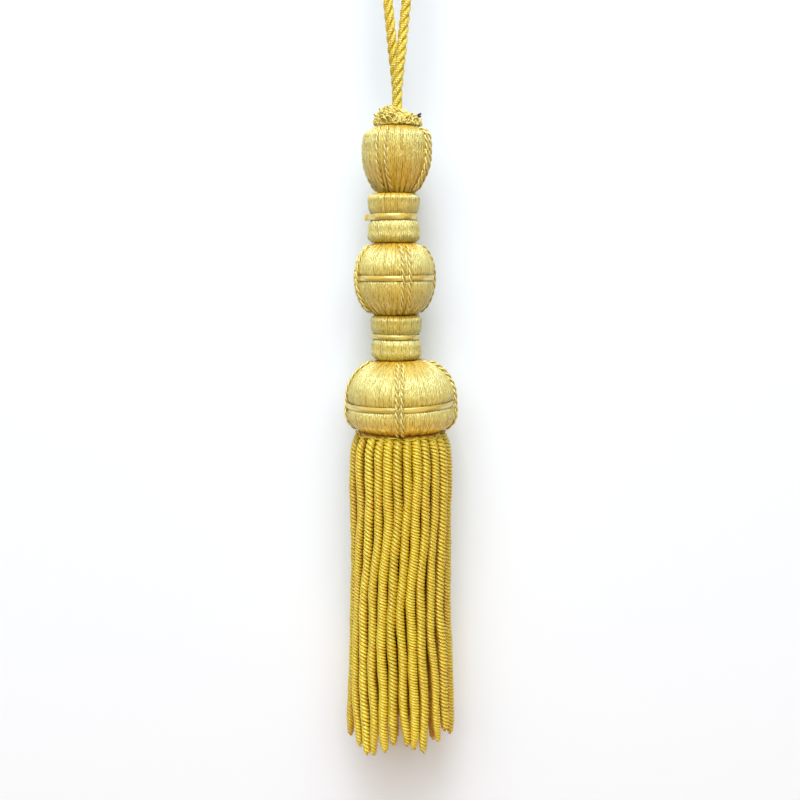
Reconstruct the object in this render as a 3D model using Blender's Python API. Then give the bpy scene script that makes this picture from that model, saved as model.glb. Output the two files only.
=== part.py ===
"""Silk tassel: a turned head of two balls and a bell, a bullion skirt and a hanging loop.

Metres, +Z up.  The origin is the inside of the loop's top, where the tassel hangs, and every
other piece follows downwards from it.  The front is at -Y.  Azimuths are in degrees, counted
from the front towards +X.
"""
import math

import bmesh
import bpy
import numpy as np

MM = 0.001
GAP = 0.3 * MM
SHARP_ANGLE = math.radians(50.0)

# Hanging cord: three plies laid to the right, doubled into a loop.
CORD_DIAMETER = 3.7 * MM
CORD_PITCH = 12.2 * MM
CORD_PLIES = 3
CORD_VALLEY = 0.62
CORD_STEPS_PER_TURN = 8
# Route of the cord's middle, in mm: from its left foot, which stands behind the other, up to
# where the legs part, over the hanging point and down to its right foot in front.
CORD_ROUTE = [
    (-0.3, 2.0, -90.7), (-0.3, 2.0, -84.0), (-0.4, 2.0, -78.5), (-0.8, 1.95, -73.7),
    (-1.25, 1.8, -69.6), (-1.75, 1.4, -65.5), (-2.3, 0.7, -60.0), (-2.85, 0.2, -54.5),
    (-3.6, 0.0, -47.0), (-4.9, 0.0, -36.0), (-6.1, 0.0, -25.0), (-7.2, 0.0, -14.5),
    (-7.95, 0.0, -8.0), (-7.55, 0.0, -3.6), (-5.7, 0.0, -0.5), (-3.1, 0.0, 1.25),
    (0.0, 0.0, 1.85),
    (3.1, 0.0, 1.25), (5.7, 0.0, -0.5), (7.55, 0.0, -3.6), (7.95, 0.0, -8.0),
    (7.1, 0.0, -14.5), (5.85, 0.0, -25.0), (4.45, 0.0, -36.0), (3.1, 0.0, -47.0),
    (2.25, -0.2, -54.5), (1.7, -0.7, -60.0), (1.15, -1.4, -65.5), (0.65, -1.8, -69.6),
    (0.2, -1.95, -73.7), (-0.2, -2.0, -78.5), (-0.3, -2.0, -84.0), (-0.3, -2.0, -90.7),
]
ROUTE_SAMPLES = 1500

# Stack of the head, from the hanging point down.
LOOP_DROP = 91.0 * MM
TOP_BALL_HEIGHT = 23.2 * MM
UPPER_NECK_HEIGHT = 17.5 * MM
MIDDLE_BALL_HEIGHT = 25.8 * MM
LOWER_NECK_HEIGHT = 16.3 * MM
BELL_HEIGHT = 26.3 * MM

TOP_BALL_Z = -LOOP_DROP
UPPER_NECK_Z = TOP_BALL_Z - TOP_BALL_HEIGHT - GAP
MIDDLE_BALL_Z = UPPER_NECK_Z - UPPER_NECK_HEIGHT - GAP
LOWER_NECK_Z = MIDDLE_BALL_Z - MIDDLE_BALL_HEIGHT - GAP
BELL_Z = LOWER_NECK_Z - LOWER_NECK_HEIGHT - GAP
SKIRT_Z = BELL_Z - BELL_HEIGHT - GAP

# Sideways offset of each piece's axis, as loosely strung: (piece, x in mm).
AXIS_X = {
    "ruff": -0.4, "top_ball": -0.6, "upper_neck": -1.6, "middle_ball": -1.1,
    "lower_neck": -0.7, "bell": 1.1, "skirt": 1.0,
}

# Turned profiles, from the top down: (depth below the piece's top in mm, radius in mm).
TOP_BALL_PROFILE = [
    (0.0, 8.2), (2.1, 11.3), (4.7, 12.2), (8.6, 12.4), (12.8, 12.1), (15.9, 11.1),
    (19.9, 9.1), (23.2, 6.9),
]
UPPER_NECK_PROFILE = [
    (0.0, 7.9), (0.8, 9.0), (3.4, 9.3), (6.2, 9.1), (10.4, 9.1), (13.0, 9.3), (16.6, 9.0),
    (17.5, 7.9),
]
MIDDLE_BALL_PROFILE = [
    (0.0, 8.4), (2.4, 11.3), (5.3, 13.1), (9.6, 14.3), (15.1, 14.3), (19.5, 13.2),
    (22.8, 11.4), (25.8, 8.4),
]
LOWER_NECK_PROFILE = [
    (0.0, 7.9), (0.8, 8.9), (3.5, 9.3), (6.6, 9.1), (9.1, 9.0), (12.2, 9.1), (15.5, 8.8),
    (16.3, 7.9),
]
BELL_PROFILE = [
    (0.0, 8.8), (1.8, 12.4), (3.8, 15.2), (7.3, 18.0), (12.2, 19.8), (16.4, 20.0),
    (19.6, 20.2), (22.3, 19.7), (24.6, 18.1), (26.3, 15.4),
]

# Floss gathers of the covered pieces: (number of gathers, depth at the rims, depth between).
# They run out over the share of the piece's height next to each rim.
BALL_GATHERS = (22, 0.45 * MM, 0.12 * MM)
NECK_GATHERS = (18, 0.20 * MM, 0.08 * MM)
BELL_GATHERS = (25, 0.40 * MM, 0.12 * MM)
RIM_SHARE = 0.22

# Rings down each covered piece.
TURNED_STEPS = {"top_ball": 8, "upper_neck": 7, "middle_ball": 9, "lower_neck": 7, "bell": 10}

# Ribbons, each in its own groove: (depth of the middle in mm, height in mm).  The groove's
# edges slope in over a little height, and no ring comes nearer to them than the clearance.
RIBBON_THICKNESS = 0.6 * MM
RIBBON_GROOVE = 0.9 * MM
GROOVE_SLOPE = 0.15
GROOVE_CLEARANCE = 0.8
RIBBONS = {
    "upper_neck": (8.3, 2.6), "middle_ball": (12.5, 1.9),
    "lower_neck": (7.9, 1.8), "bell": (16.4, 2.0),
}
RIBBON_SECTORS = 32

# Sewn cord pairs, four on each covered ball and on the bell: (azimuth of the first, cord
# diameter in mm, spacing of the two cords in mm, first and last depth on the piece in mm).
SEWN_PAIRS = {
    "top_ball": (-24.6, 1.3, 3.4, 0.8, 22.6),
    "middle_ball": (16.7, 1.4, 2.6, 1.0, 24.8),
    "bell": (-1.5, 1.5, 2.0, 1.2, 26.0),
}
SEWN_PAIR_STEPS = 9
# Heights of the pair's outer flank and of the valley between its cords, in cord diameters.
PAIR_FLANK = 0.55
PAIR_VALLEY = 0.45

# Ruff of looped gimp about the cord: (loops, azimuth of the first, foot radius, foot height,
# tip radius, tip height, half width at the feet in degrees, half width at the tip in mm).
RUFF_THREAD = 1.1 * MM
RUFF_BAND = {"inner": 4.5 * MM, "outer": 6.9 * MM, "height": 2.0 * MM, "slope": 0.6 * MM}
RUFF_BAND_SECTORS = 28
RUFF_TIERS = [
    (8, 10.0, 5.5, 1.6, 7.6, 7.2, 10.0, 3.2),
    (10, 27.0, 6.5, 1.1, 9.6, 3.7, 8.0, 3.4),
]
RUFF_STEPS = 6

# Skirt of bullion strands below the bell.
STRAND_SIDE = 2.8 * MM
HEADING_RADIUS = 15.2 * MM
HEADING_HEIGHT = 3.0 * MM
HEADING_SECTORS = 36
ROOT_DEPTH = 1.0 * MM
OUTER_ROW = (27, 17.6)
# (strands, radius where they hang in mm, length in mm, azimuth of the first)
INNER_ROWS = [(22, 13.4, 117.0, 5.0), (14, 9.1, 116.0, 9.0), (6, 4.6, 115.0, 20.0)]
# Share of the hanging radius at each depth below the bell: (depth in mm, share).
SKIRT_FLARE = [
    (0.0, 0.83), (2.0, 0.905), (5.0, 0.968), (9.5, 0.995), (30.0, 1.0), (61.0, 1.0),
    (95.0, 1.065), (123.0, 1.12),
]
# Front strands of the outer row: azimuth at the bell, at 30 mm, 61 mm and 95 mm below it and
# at the end, then the strand's length in mm.
FRONT_STRANDS = [
    (-85, -82, -86, -86, -87, 121.0),
    (-61, -57, -67, -66, -55, 119.8),
    (-42, -40, -50, -48, -39, 121.7),
    (-28, -27, -36, -34, -28, 120.9),
    (-16, -15, -23, -21, -18, 118.8),
    (-4, -4, -11, -9, -7, 115.7),
    (8, 7, 0, 3, 4, 116.2),
    (20, 18, 12, 15, 15, 117.6),
    (32, 30, 24, 27, 28, 119.4),
    (46, 44, 38, 43, 45, 117.2),
    (62, 61, 55, 60, 61, 114.9),
    (82, 84, 80, 84, 85, 119.2),
]
FRONT_DEPTHS = (0.0, 30.0, 61.0, 95.0)
# The other strands: mean length in mm, its spread, and the turn in degrees at each depth.
BACK_LENGTH = 118.5
BACK_SPREAD = 2.6
BACK_TURN = (0.0, -0.5, -2.0, -0.8)
BACK_END_TURN = 1.3
INNER_SPREAD = 2.0
INNER_TURN = (0.0, -1.0, -3.0, 0.0)
INNER_END_TURN = 1.5
# Depths at which a strand has a cross-section, in mm, then the taper of its tip as pairs of
# (distance from the end in mm, share of the full side).
OUTER_SECTIONS = (0.0, 2.2, 5.0, 11.0, 30.0, 45.0, 61.0, 80.0, 100.0)
INNER_SECTIONS = (0.0, 5.0, 61.0)
OUTER_TAPER = [(5.0, 0.96), (1.6, 0.72), (0.0, 0.34)]
INNER_TAPER = [(4.0, 0.90), (0.0, 0.40)]

# Finishes: (colour, roughness, metallic).
CORD_GOLD = ((0.80, 0.54, 0.10), 0.45, 0.0)
HEAD_SATIN = ((0.78, 0.62, 0.26), 0.38, 0.0)
LAID_SATIN = ((0.84, 0.66, 0.28), 0.35, 0.0)
RIBBON_GOLD = ((0.76, 0.55, 0.16), 0.30, 0.0)
GIMP_GOLD = ((0.80, 0.70, 0.38), 0.40, 0.0)
SKIRT_GOLD = ((0.70, 0.50, 0.06), 0.48, 0.0)


def clear_scene():
    """Remove every object that the file opened with."""
    for obj in list(bpy.data.objects):
        bpy.data.objects.remove(obj, do_unlink=True)


def finish(name, look):
    """Make a material of one colour, roughness and metallic value."""
    colour, roughness, metallic = look
    material = bpy.data.materials.new(name)
    material.use_nodes = True
    shader = material.node_tree.nodes["Principled BSDF"]
    shader.inputs["Base Color"].default_value = (*colour, 1.0)
    shader.inputs["Roughness"].default_value = roughness
    shader.inputs["Metallic"].default_value = metallic
    return material


def add_solid(name, points, faces, material, smooth=True):
    """Add one closed mesh object whose faces point outwards."""
    mesh = bpy.data.meshes.new(name)
    mesh.from_pydata([tuple(point) for point in points], [], faces)
    shell = bmesh.new()
    shell.from_mesh(mesh)
    bmesh.ops.recalc_face_normals(shell, faces=shell.faces[:])
    shell.to_mesh(mesh)
    shell.free()
    if smooth:
        mesh.shade_smooth()
        mesh.set_sharp_from_angle(angle=SHARP_ANGLE)
    mesh.materials.append(material)
    obj = bpy.data.objects.new(name, mesh)
    bpy.context.scene.collection.objects.link(obj)
    return obj


def ring_faces(rings, sides, closed=False):
    """Join rings of equal size into quads, with a cap at each end unless the row is closed."""
    faces = []
    for row in range(rings if closed else rings - 1):
        upper = row * sides
        lower = (row + 1) % rings * sides
        for side in range(sides):
            after = (side + 1) % sides
            faces.append((upper + side, upper + after, lower + after, lower + side))
    if not closed:
        faces.append(tuple(range(sides)))
        faces.append(tuple(range((rings - 1) * sides, rings * sides)))
    return faces


def smooth_rows(rows, positions):
    """Read a table's columns at the given positions along a smooth curve through its rows.

    The curve is a cubic between each two rows.  Its slope at a row is the mean of the chords
    on the row's two sides, weighted towards the shorter one, so that it never kinks.
    """
    table = np.array(rows, dtype=float)
    place, values = table[:, 0], table[:, 1:]
    slopes = np.gradient(values, place, axis=0)
    at = np.clip(np.asarray(positions, dtype=float), place[0], place[-1])
    row = np.clip(np.searchsorted(place, at, side="right") - 1, 0, len(place) - 2)
    span = place[row + 1] - place[row]
    part = ((at - place[row]) / span)[:, None]
    span = span[:, None]
    start = (1 + 2 * part) * (1 - part) ** 2 * values[row]
    start += part * (1 - part) ** 2 * span * slopes[row]
    end = part ** 2 * (3 - 2 * part) * values[row + 1]
    end += part ** 2 * (part - 1) * span * slopes[row + 1]
    return start + end


def radius_at(profile, depths):
    """Radius in metres of a turned profile at depths in millimetres."""
    return smooth_rows(profile, depths)[:, 0] * MM


def place_at(azimuth, radius, z, offset_x=0.0):
    """World point at an azimuth in radians from the front, a radius and a height."""
    return (offset_x + radius * math.sin(azimuth), -radius * math.cos(azimuth), z)


# ---- Head: covered balls, necks and bell ----

def gather_depth(share, gathers):
    """Depth of the gathers at a share of the piece's height: deep at the rims."""
    rim = max(0.0, 1.0 - min(share, 1.0 - share) / RIM_SHARE)
    return gathers[2] + (gathers[1] - gathers[2]) * rim ** 1.5


def turned_depths(profile, ribbon, steps):
    """Rings of a turned piece as (depth in mm, groove in metres), closer near the rims.

    A piece with a ribbon has four more rings, for the edges of its groove.
    """
    height = profile[-1][0]
    depths = [height * (1.0 - math.cos(math.pi * i / steps)) / 2.0 for i in range(steps + 1)]
    if ribbon is None:
        return [(depth, 0.0) for depth in depths]
    middle, width = ribbon
    half = width / 2.0 + GAP / MM
    reach = half + GROOVE_CLEARANCE
    clear = [(depth, 0.0) for depth in depths if abs(depth - middle) > reach]
    groove = [(middle - half - GROOVE_SLOPE, 0.0), (middle - half, RIBBON_GROOVE)]
    groove += [(middle + half, RIBBON_GROOVE), (middle + half + GROOVE_SLOPE, 0.0)]
    return sorted(clear + groove)


def turned_piece(name, top, profile, gathers, material):
    """Turn a profile about the piece's own axis and raise its gathers as ribs.

    Each gather is a crest and a hollow, so the ring has two points for each one.
    """
    count = gathers[0]
    height = profile[-1][0]
    rows = turned_depths(profile, RIBBONS.get(name), TURNED_STEPS[name])
    points = []
    for depth, groove in rows:
        radius = radius_at(profile, [depth])[0] - groove
        hollow = 0.0 if groove else gather_depth(depth / height, gathers)
        for side in range(2 * count):
            azimuth = math.pi * side / count
            reach = radius - (hollow if side % 2 else 0.0)
            points.append(place_at(azimuth, reach, top - depth * MM, AXIS_X[name] * MM))
    return add_solid(name, points, ring_faces(len(rows), 2 * count), material)


def ribbon_band(piece, top, profile, material):
    """A flat ribbon wound once round a piece, flush with its surface."""
    middle, height = RIBBONS[piece]
    outer = radius_at(profile, [middle])[0]
    inner = outer - RIBBON_THICKNESS
    half = height * MM / 2.0
    centre_z = top - middle * MM
    corners = [(outer, half), (outer, -half), (inner, -half), (inner, half)]
    points = []
    for sector in range(RIBBON_SECTORS):
        azimuth = 2.0 * math.pi * sector / RIBBON_SECTORS
        for radius, rise in corners:
            points.append(place_at(azimuth, radius, centre_z + rise, AXIS_X[piece] * MM))
    faces = ring_faces(RIBBON_SECTORS, len(corners), closed=True)
    return add_solid(piece + "_ribbon", points, faces, material, smooth=False)


def sewn_pair_section(diameter, spacing):
    """Cross-section of two cords sewn side by side: (across, out) points, metres."""
    half = (spacing + diameter) / 2.0
    crown = spacing / 2.0
    flank = PAIR_FLANK * diameter
    valley = PAIR_VALLEY * diameter
    return [
        (-half, 0.0), (-half, flank), (-crown, diameter), (0.0, valley), (crown, diameter),
        (half, flank), (half, 0.0),
    ]


def sewn_pair(name, piece, top, profile, azimuth, material):
    """Lay a pair of cords down a piece, from under its top edge to its bottom edge.

    The path follows the profile a gap outside it, and the section stands square to it.
    """
    _, diameter, spacing, first, last = SEWN_PAIRS[piece]
    section = sewn_pair_section(diameter * MM, spacing * MM)
    depths = np.linspace(first, last, SEWN_PAIR_STEPS)
    radii = radius_at(profile, depths)
    slopes = np.gradient(radii, depths * MM)
    across = np.array(place_at(azimuth + math.pi / 2.0, 1.0, 0.0))
    points = []
    for depth, radius, slope in zip(depths, radii, slopes):
        lean = 1.0 / math.hypot(1.0, slope)
        base = np.array(place_at(azimuth, radius, top - depth * MM, AXIS_X[piece] * MM))
        outward = np.array(place_at(azimuth, lean, slope * lean))
        for side, rise in section:
            points.append(base + across * side + outward * (rise + GAP))
    faces = ring_faces(len(depths), len(section))
    return add_solid(name, points, faces, material, smooth=False)


def build_head():
    """Build the covered balls, necks and bell with their ribbons and sewn cords."""
    satin = finish("head_satin", HEAD_SATIN)
    laid = finish("laid_satin", LAID_SATIN)
    ribbon = finish("ribbon_gold", RIBBON_GOLD)
    pieces = [
        ("top_ball", TOP_BALL_Z, TOP_BALL_PROFILE, BALL_GATHERS),
        ("upper_neck", UPPER_NECK_Z, UPPER_NECK_PROFILE, NECK_GATHERS),
        ("middle_ball", MIDDLE_BALL_Z, MIDDLE_BALL_PROFILE, BALL_GATHERS),
        ("lower_neck", LOWER_NECK_Z, LOWER_NECK_PROFILE, NECK_GATHERS),
        ("bell", BELL_Z, BELL_PROFILE, BELL_GATHERS),
    ]
    for name, top, profile, gathers in pieces:
        turned_piece(name, top, profile, gathers, satin)
        if name in RIBBONS:
            ribbon_band(name, top, profile, ribbon)
        if name in SEWN_PAIRS:
            for turn in range(4):
                azimuth = math.radians(SEWN_PAIRS[name][0] + 90.0 * turn)
                pair_name = "%s_cords_%d" % (name, turn + 1)
                sewn_pair(pair_name, name, top, profile, azimuth, laid)


# ---- Ruff ----

def ruff_loop(azimuth, tier):
    """Centre line of one gimp loop: out of the band, up to its tip and back.

    The way along it is a half turn: height and reach follow its sine, and the width narrows
    from the feet by the cosine.
    """
    _, _, foot_radius, foot_height, tip_radius, tip_height, foot_angle, tip_half = tier
    line = []
    for step in range(RUFF_STEPS + 1):
        turn = math.pi * step / RUFF_STEPS
        rise = math.sin(turn)
        radius = (foot_radius + (tip_radius - foot_radius) * rise) * MM
        foot_half = foot_radius * math.radians(foot_angle)
        half = (foot_half + (tip_half - foot_half) * rise) * math.cos(turn) * MM
        height = (foot_height + (tip_height - foot_height) * rise) * MM
        line.append((azimuth + half / radius, radius, height))
    return line


def square_tube(line, side, offset_x, base_z):
    """Points of a four-sided tube along (azimuth, radius, height) stations."""
    path = np.array([place_at(a, r, base_z + h, offset_x) for a, r, h in line])
    along = np.gradient(path, axis=0)
    along /= np.linalg.norm(along, axis=1)[:, None]
    points = []
    for (azimuth, _, _), centre, direction in zip(line, path, along):
        outward = np.array(place_at(azimuth, 1.0, 0.0))
        outward -= direction * outward.dot(direction)
        outward /= np.linalg.norm(outward)
        sideways = np.cross(direction, outward)
        for out, across in ((1, 1), (1, -1), (-1, -1), (-1, 1)):
            points.append(centre + (outward * out + sideways * across) * side / 2.0)
    return points


def unite(base, guide):
    """Fuse a guide's shapes into a base object and keep the guide out of the model."""
    guide.hide_render = True
    guide.display_type = "WIRE"
    union = base.modifiers.new("fused", "BOOLEAN")
    union.operation = "UNION"
    union.solver = "EXACT"
    union.object = guide


def build_ruff():
    """Build the band about the cord's foot with its two tiers of looped gimp."""
    gimp = finish("gimp_gold", GIMP_GOLD)
    offset_x = AXIS_X["ruff"] * MM
    base_z = TOP_BALL_Z + GAP
    inner, outer = RUFF_BAND["inner"], RUFF_BAND["outer"]
    height, slope = RUFF_BAND["height"], RUFF_BAND["slope"]
    corners = [(inner, 0.0), (inner, height), (outer - slope, height), (outer, 0.0)]
    points = []
    for sector in range(RUFF_BAND_SECTORS):
        azimuth = 2.0 * math.pi * sector / RUFF_BAND_SECTORS
        points += [place_at(azimuth, radius, base_z + rise, offset_x) for radius, rise in corners]
    faces = ring_faces(RUFF_BAND_SECTORS, len(corners), closed=True)
    band = add_solid("ruff", points, faces, gimp, smooth=False)
    loop_points = []
    loop_faces = []
    for tier in RUFF_TIERS:
        count, first = tier[0], tier[1]
        for index in range(count):
            azimuth = math.radians(first + 360.0 * index / count)
            start = len(loop_points)
            loop_points += square_tube(ruff_loop(azimuth, tier), RUFF_THREAD, offset_x, base_z)
            for face in ring_faces(RUFF_STEPS + 1, 4):
                loop_faces.append(tuple(start + corner for corner in face))
    unite(band, add_solid("ruff_loops", loop_points, loop_faces, gimp, smooth=False))


# ---- Hanging cord ----

def route_curve():
    """Points in metres along a smooth curve through the cord's route.

    The curve is a natural cubic spline over the straight lengths between the route's points:
    its bends at the points balance the change of slope there, and are 0 at the two feet.
    """
    points = np.array(CORD_ROUTE) * MM
    spans = np.linalg.norm(np.diff(points, axis=0), axis=1)
    place = np.concatenate([[0.0], np.cumsum(spans)])
    slopes = np.diff(points, axis=0) / spans[:, None]
    balance = np.eye(len(points))
    for i in range(1, len(spans)):
        balance[i, i - 1:i + 2] = spans[i - 1], 2.0 * (spans[i - 1] + spans[i]), spans[i]
    turns = np.zeros_like(points)
    turns[1:-1] = 6.0 * np.diff(slopes, axis=0)
    bends = np.linalg.solve(balance, turns)
    at = np.linspace(0.0, place[-1], ROUTE_SAMPLES)
    row = np.clip(np.searchsorted(place, at, side="right") - 1, 0, len(spans) - 1)
    span = spans[row][:, None]
    after = (at - place[row])[:, None]
    before = span - after
    curve = (bends[row] * before ** 3 + bends[row + 1] * after ** 3) / (6.0 * span)
    curve += (points[row] / span - bends[row] * span / 6.0) * before
    curve += (points[row + 1] / span - bends[row + 1] * span / 6.0) * after
    return curve


def even_steps(route, step):
    """Points along a route at an even step, and the length along it of each."""
    legs = np.linalg.norm(np.diff(route, axis=0), axis=1)
    travelled = np.concatenate([[0.0], np.cumsum(legs)])
    count = int(round(travelled[-1] / step)) + 1
    along = np.linspace(0.0, travelled[-1], count)
    columns = [np.interp(along, travelled, route[:, axis]) for axis in range(3)]
    return np.stack(columns, axis=1), along


def build_hanging_cord():
    """Build the doubled cord with the twist of its three plies."""
    route, along = even_steps(route_curve(), CORD_PITCH / CORD_STEPS_PER_TURN)
    direction = np.gradient(route, axis=0)
    direction /= np.linalg.norm(direction, axis=1)[:, None]
    radius = CORD_DIAMETER / 2.0
    section = []
    for ply in range(CORD_PLIES):
        crest = 2.0 * math.pi * ply / CORD_PLIES
        section.append((crest, radius))
        section.append((crest + math.pi / CORD_PLIES, CORD_VALLEY * radius))
    front = np.array([0.0, -1.0, 0.0])
    points = []
    for centre, tangent, length in zip(route, direction, along):
        first = front - tangent * front.dot(tangent)
        first /= np.linalg.norm(first)
        second = np.cross(tangent, first)
        twist = 2.0 * math.pi * length / CORD_PITCH
        for angle, reach in section:
            turn = angle + twist
            points.append(centre + (first * math.cos(turn) + second * math.sin(turn)) * reach)
    faces = ring_faces(len(route), len(section))
    return add_solid("hanging_cord", points, faces, finish("cord_gold", CORD_GOLD))


# ---- Skirt ----

def uneven(index, salt):
    """An even spread of values from -1 to 1 that looks irregular from one index to the next."""
    return 2.0 * ((index * 0.61803 + salt * 0.37) % 1.0) - 1.0


def outer_strands():
    """Azimuth rows and lengths of the outer row: the front ones, then the back ones."""
    strands = []
    for row in FRONT_STRANDS:
        depths = FRONT_DEPTHS + (row[5],)
        azimuths = row[:5]
        strands.append((list(zip(depths, azimuths)), row[5]))
    back = OUTER_ROW[0] - len(FRONT_STRANDS)
    last = FRONT_STRANDS[-1]
    first = FRONT_STRANDS[0]
    for index in range(back):
        share = (index + 1) / (back + 1)
        turns = BACK_TURN + (BACK_END_TURN * uneven(index, 1),)
        sway = math.sin(math.pi * share)
        edges = zip(last[:5], first[:5], turns)
        azimuths = [low + (high + 360.0 - low) * share + turn * sway for low, high, turn in edges]
        length = BACK_LENGTH + BACK_SPREAD * uneven(index, 2)
        strands.append((list(zip(FRONT_DEPTHS + (length,), azimuths)), length))
    return strands


def inner_strands(row):
    """Azimuth rows and lengths of one inner row, evenly spaced and a little uneven."""
    count, _, length, first = row
    strands = []
    for index in range(count):
        base = first + 360.0 * index / count
        reach = length + INNER_SPREAD * uneven(index, 3)
        turns = INNER_TURN + (INNER_END_TURN * uneven(index, 4),)
        azimuths = [base + turn for turn in turns]
        strands.append((list(zip(FRONT_DEPTHS + (reach,), azimuths)), reach))
    return strands


def strand_points(azimuth_rows, length, hang_radius, sections, taper):
    """Points of one four-sided strand, from its root in the heading to its tapered tip."""
    stations = [(depth, 1.0) for depth in sections]
    stations += [(length - back, share) for back, share in taper]
    depths = [depth for depth, _ in stations]
    azimuths = np.radians(smooth_rows(azimuth_rows, depths)[:, 0])
    radii = hang_radius * smooth_rows(SKIRT_FLARE, depths)[:, 0] * MM
    top = SKIRT_Z - ROOT_DEPTH
    offset_x = AXIS_X["skirt"] * MM
    line = zip(azimuths, radii, depths)
    path = np.array([place_at(a, r, top - depth * MM, offset_x) for a, r, depth in line])
    along = np.gradient(path, axis=0)
    along /= np.linalg.norm(along, axis=1)[:, None]
    points = []
    for azimuth, centre, direction, (_, share) in zip(azimuths, path, along, stations):
        outward = np.array(place_at(azimuth, 1.0, 0.0))
        outward -= direction * outward.dot(direction)
        outward /= np.linalg.norm(outward)
        sideways = np.cross(direction, outward)
        half = STRAND_SIDE * share / 2.0
        for out, across in ((1, 1), (1, -1), (-1, -1), (-1, 1)):
            points.append(centre + (outward * out + sideways * across) * half)
    return points, len(stations)


def build_skirt():
    """Build the heading under the bell with every strand's root fused into it."""
    gold = finish("skirt_gold", SKIRT_GOLD)
    offset_x = AXIS_X["skirt"] * MM
    points = []
    for depth in (0.0, HEADING_HEIGHT):
        for sector in range(HEADING_SECTORS):
            azimuth = 2.0 * math.pi * sector / HEADING_SECTORS
            points.append(place_at(azimuth, HEADING_RADIUS, SKIRT_Z - depth, offset_x))
    faces = ring_faces(2, HEADING_SECTORS)
    heading = add_solid("skirt", points, faces, gold, smooth=False)
    rows = [(outer_strands(), OUTER_ROW[1], OUTER_SECTIONS, OUTER_TAPER)]
    rows += [(inner_strands(row), row[1], INNER_SECTIONS, INNER_TAPER) for row in INNER_ROWS]
    strand_mesh = []
    strand_faces = []
    for strands, hang_radius, sections, taper in rows:
        for azimuth_rows, length in strands:
            start = len(strand_mesh)
            shape, rings = strand_points(azimuth_rows, length, hang_radius, sections, taper)
            strand_mesh += shape
            for face in ring_faces(rings, 4):
                strand_faces.append(tuple(start + corner for corner in face))
    unite(heading, add_solid("skirt_strands", strand_mesh, strand_faces, gold, smooth=False))


def main():
    clear_scene()
    build_hanging_cord()
    build_ruff()
    build_head()
    build_skirt()


main()
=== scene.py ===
"""Looks of a silk tassel: its wound floss, twisted cords, gimp and bullion strands.

Metres, +Z up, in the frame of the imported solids: the origin is the inside of the hanging
loop's top and the front is at -Y.  Azimuths count from the front towards +X, and depths run
downwards from a piece's top.
"""

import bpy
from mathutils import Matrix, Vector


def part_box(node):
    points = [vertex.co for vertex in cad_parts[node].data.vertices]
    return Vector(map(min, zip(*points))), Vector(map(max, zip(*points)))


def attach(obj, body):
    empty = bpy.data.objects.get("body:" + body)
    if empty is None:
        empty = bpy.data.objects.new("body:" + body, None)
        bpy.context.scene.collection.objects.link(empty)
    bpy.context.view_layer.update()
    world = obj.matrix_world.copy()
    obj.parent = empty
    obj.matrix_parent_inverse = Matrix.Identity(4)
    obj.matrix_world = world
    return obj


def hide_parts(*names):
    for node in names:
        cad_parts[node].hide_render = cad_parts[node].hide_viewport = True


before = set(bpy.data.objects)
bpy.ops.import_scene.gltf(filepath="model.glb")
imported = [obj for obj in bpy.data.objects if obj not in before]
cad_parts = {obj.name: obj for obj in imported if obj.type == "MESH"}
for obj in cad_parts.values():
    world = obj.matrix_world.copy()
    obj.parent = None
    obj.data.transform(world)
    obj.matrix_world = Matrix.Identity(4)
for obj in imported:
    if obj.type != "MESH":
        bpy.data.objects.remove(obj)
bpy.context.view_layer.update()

import math

import bmesh
import bpy
import numpy as np
from bpy.props import FloatProperty, FloatVectorProperty, IntProperty, PointerProperty

bl_info = {
    "name": "Silk Tassel",
    "version": (1, 0, 0),
    "blender": (4, 5, 0),
    "location": "View3D > Sidebar > Tassel",
    "description": "Dresses the tassel's solids in floss, twisted cord, gimp and bullion",
    "category": "Mesh",
}

MM = 0.001
TURN = 2.0 * math.pi
UP, FRONT = (0.0, 0.0, 1.0), (0.0, -1.0, 0.0)
# Room between pieces that touch on a real tassel.
GAP = 0.3 * MM
# The golden ratio's part past one, and how far a salt shifts its multiples.
GOLDEN_SHARE, SALT_SHIFT = 0.61803, 0.37
# The noise's values that count as 0 and 1, and the colour that full shade multiplies by,
# which paints shade into the colour and also darkens the grain and the darker tones.
NOISE_RANGE, DIM_COLOUR = (0.39, 0.61), (0.60, 0.51, 0.32)

# Turned pieces: axis_x is the sideways offset of the piece's own axis in mm, profile is rows of
# (depth, radius) in mm.
HEAD = {
    "top_ball": {"axis_x": -0.6, "profile": [
        (0.0, 8.2), (2.1, 11.3), (4.7, 12.2), (8.6, 12.4), (12.8, 12.1), (15.9, 11.1),
        (19.9, 9.1), (23.2, 6.9)]},
    "upper_neck": {"axis_x": -1.6, "profile": [
        (0.0, 7.9), (0.8, 9.0), (3.4, 9.3), (6.2, 9.1), (10.4, 9.1), (13.0, 9.3),
        (16.6, 9.0), (17.5, 7.9)]},
    "middle_ball": {"axis_x": -1.1, "profile": [
        (0.0, 8.4), (2.4, 11.3), (5.3, 13.1), (9.6, 14.3), (15.1, 14.3), (19.5, 13.2),
        (22.8, 11.4), (25.8, 8.4)]},
    "lower_neck": {"axis_x": -0.7, "profile": [
        (0.0, 7.9), (0.8, 8.9), (3.5, 9.3), (6.6, 9.1), (9.1, 9.0), (12.2, 9.1),
        (15.5, 8.8), (16.3, 7.9)]},
    "bell": {"axis_x": 1.1, "profile": [
        (0.0, 8.8), (1.8, 12.4), (3.8, 15.2), (7.3, 18.0), (12.2, 19.8), (16.4, 20.0),
        (19.6, 20.2), (22.3, 19.7), (24.6, 18.1), (26.3, 15.4)]},
}

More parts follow.
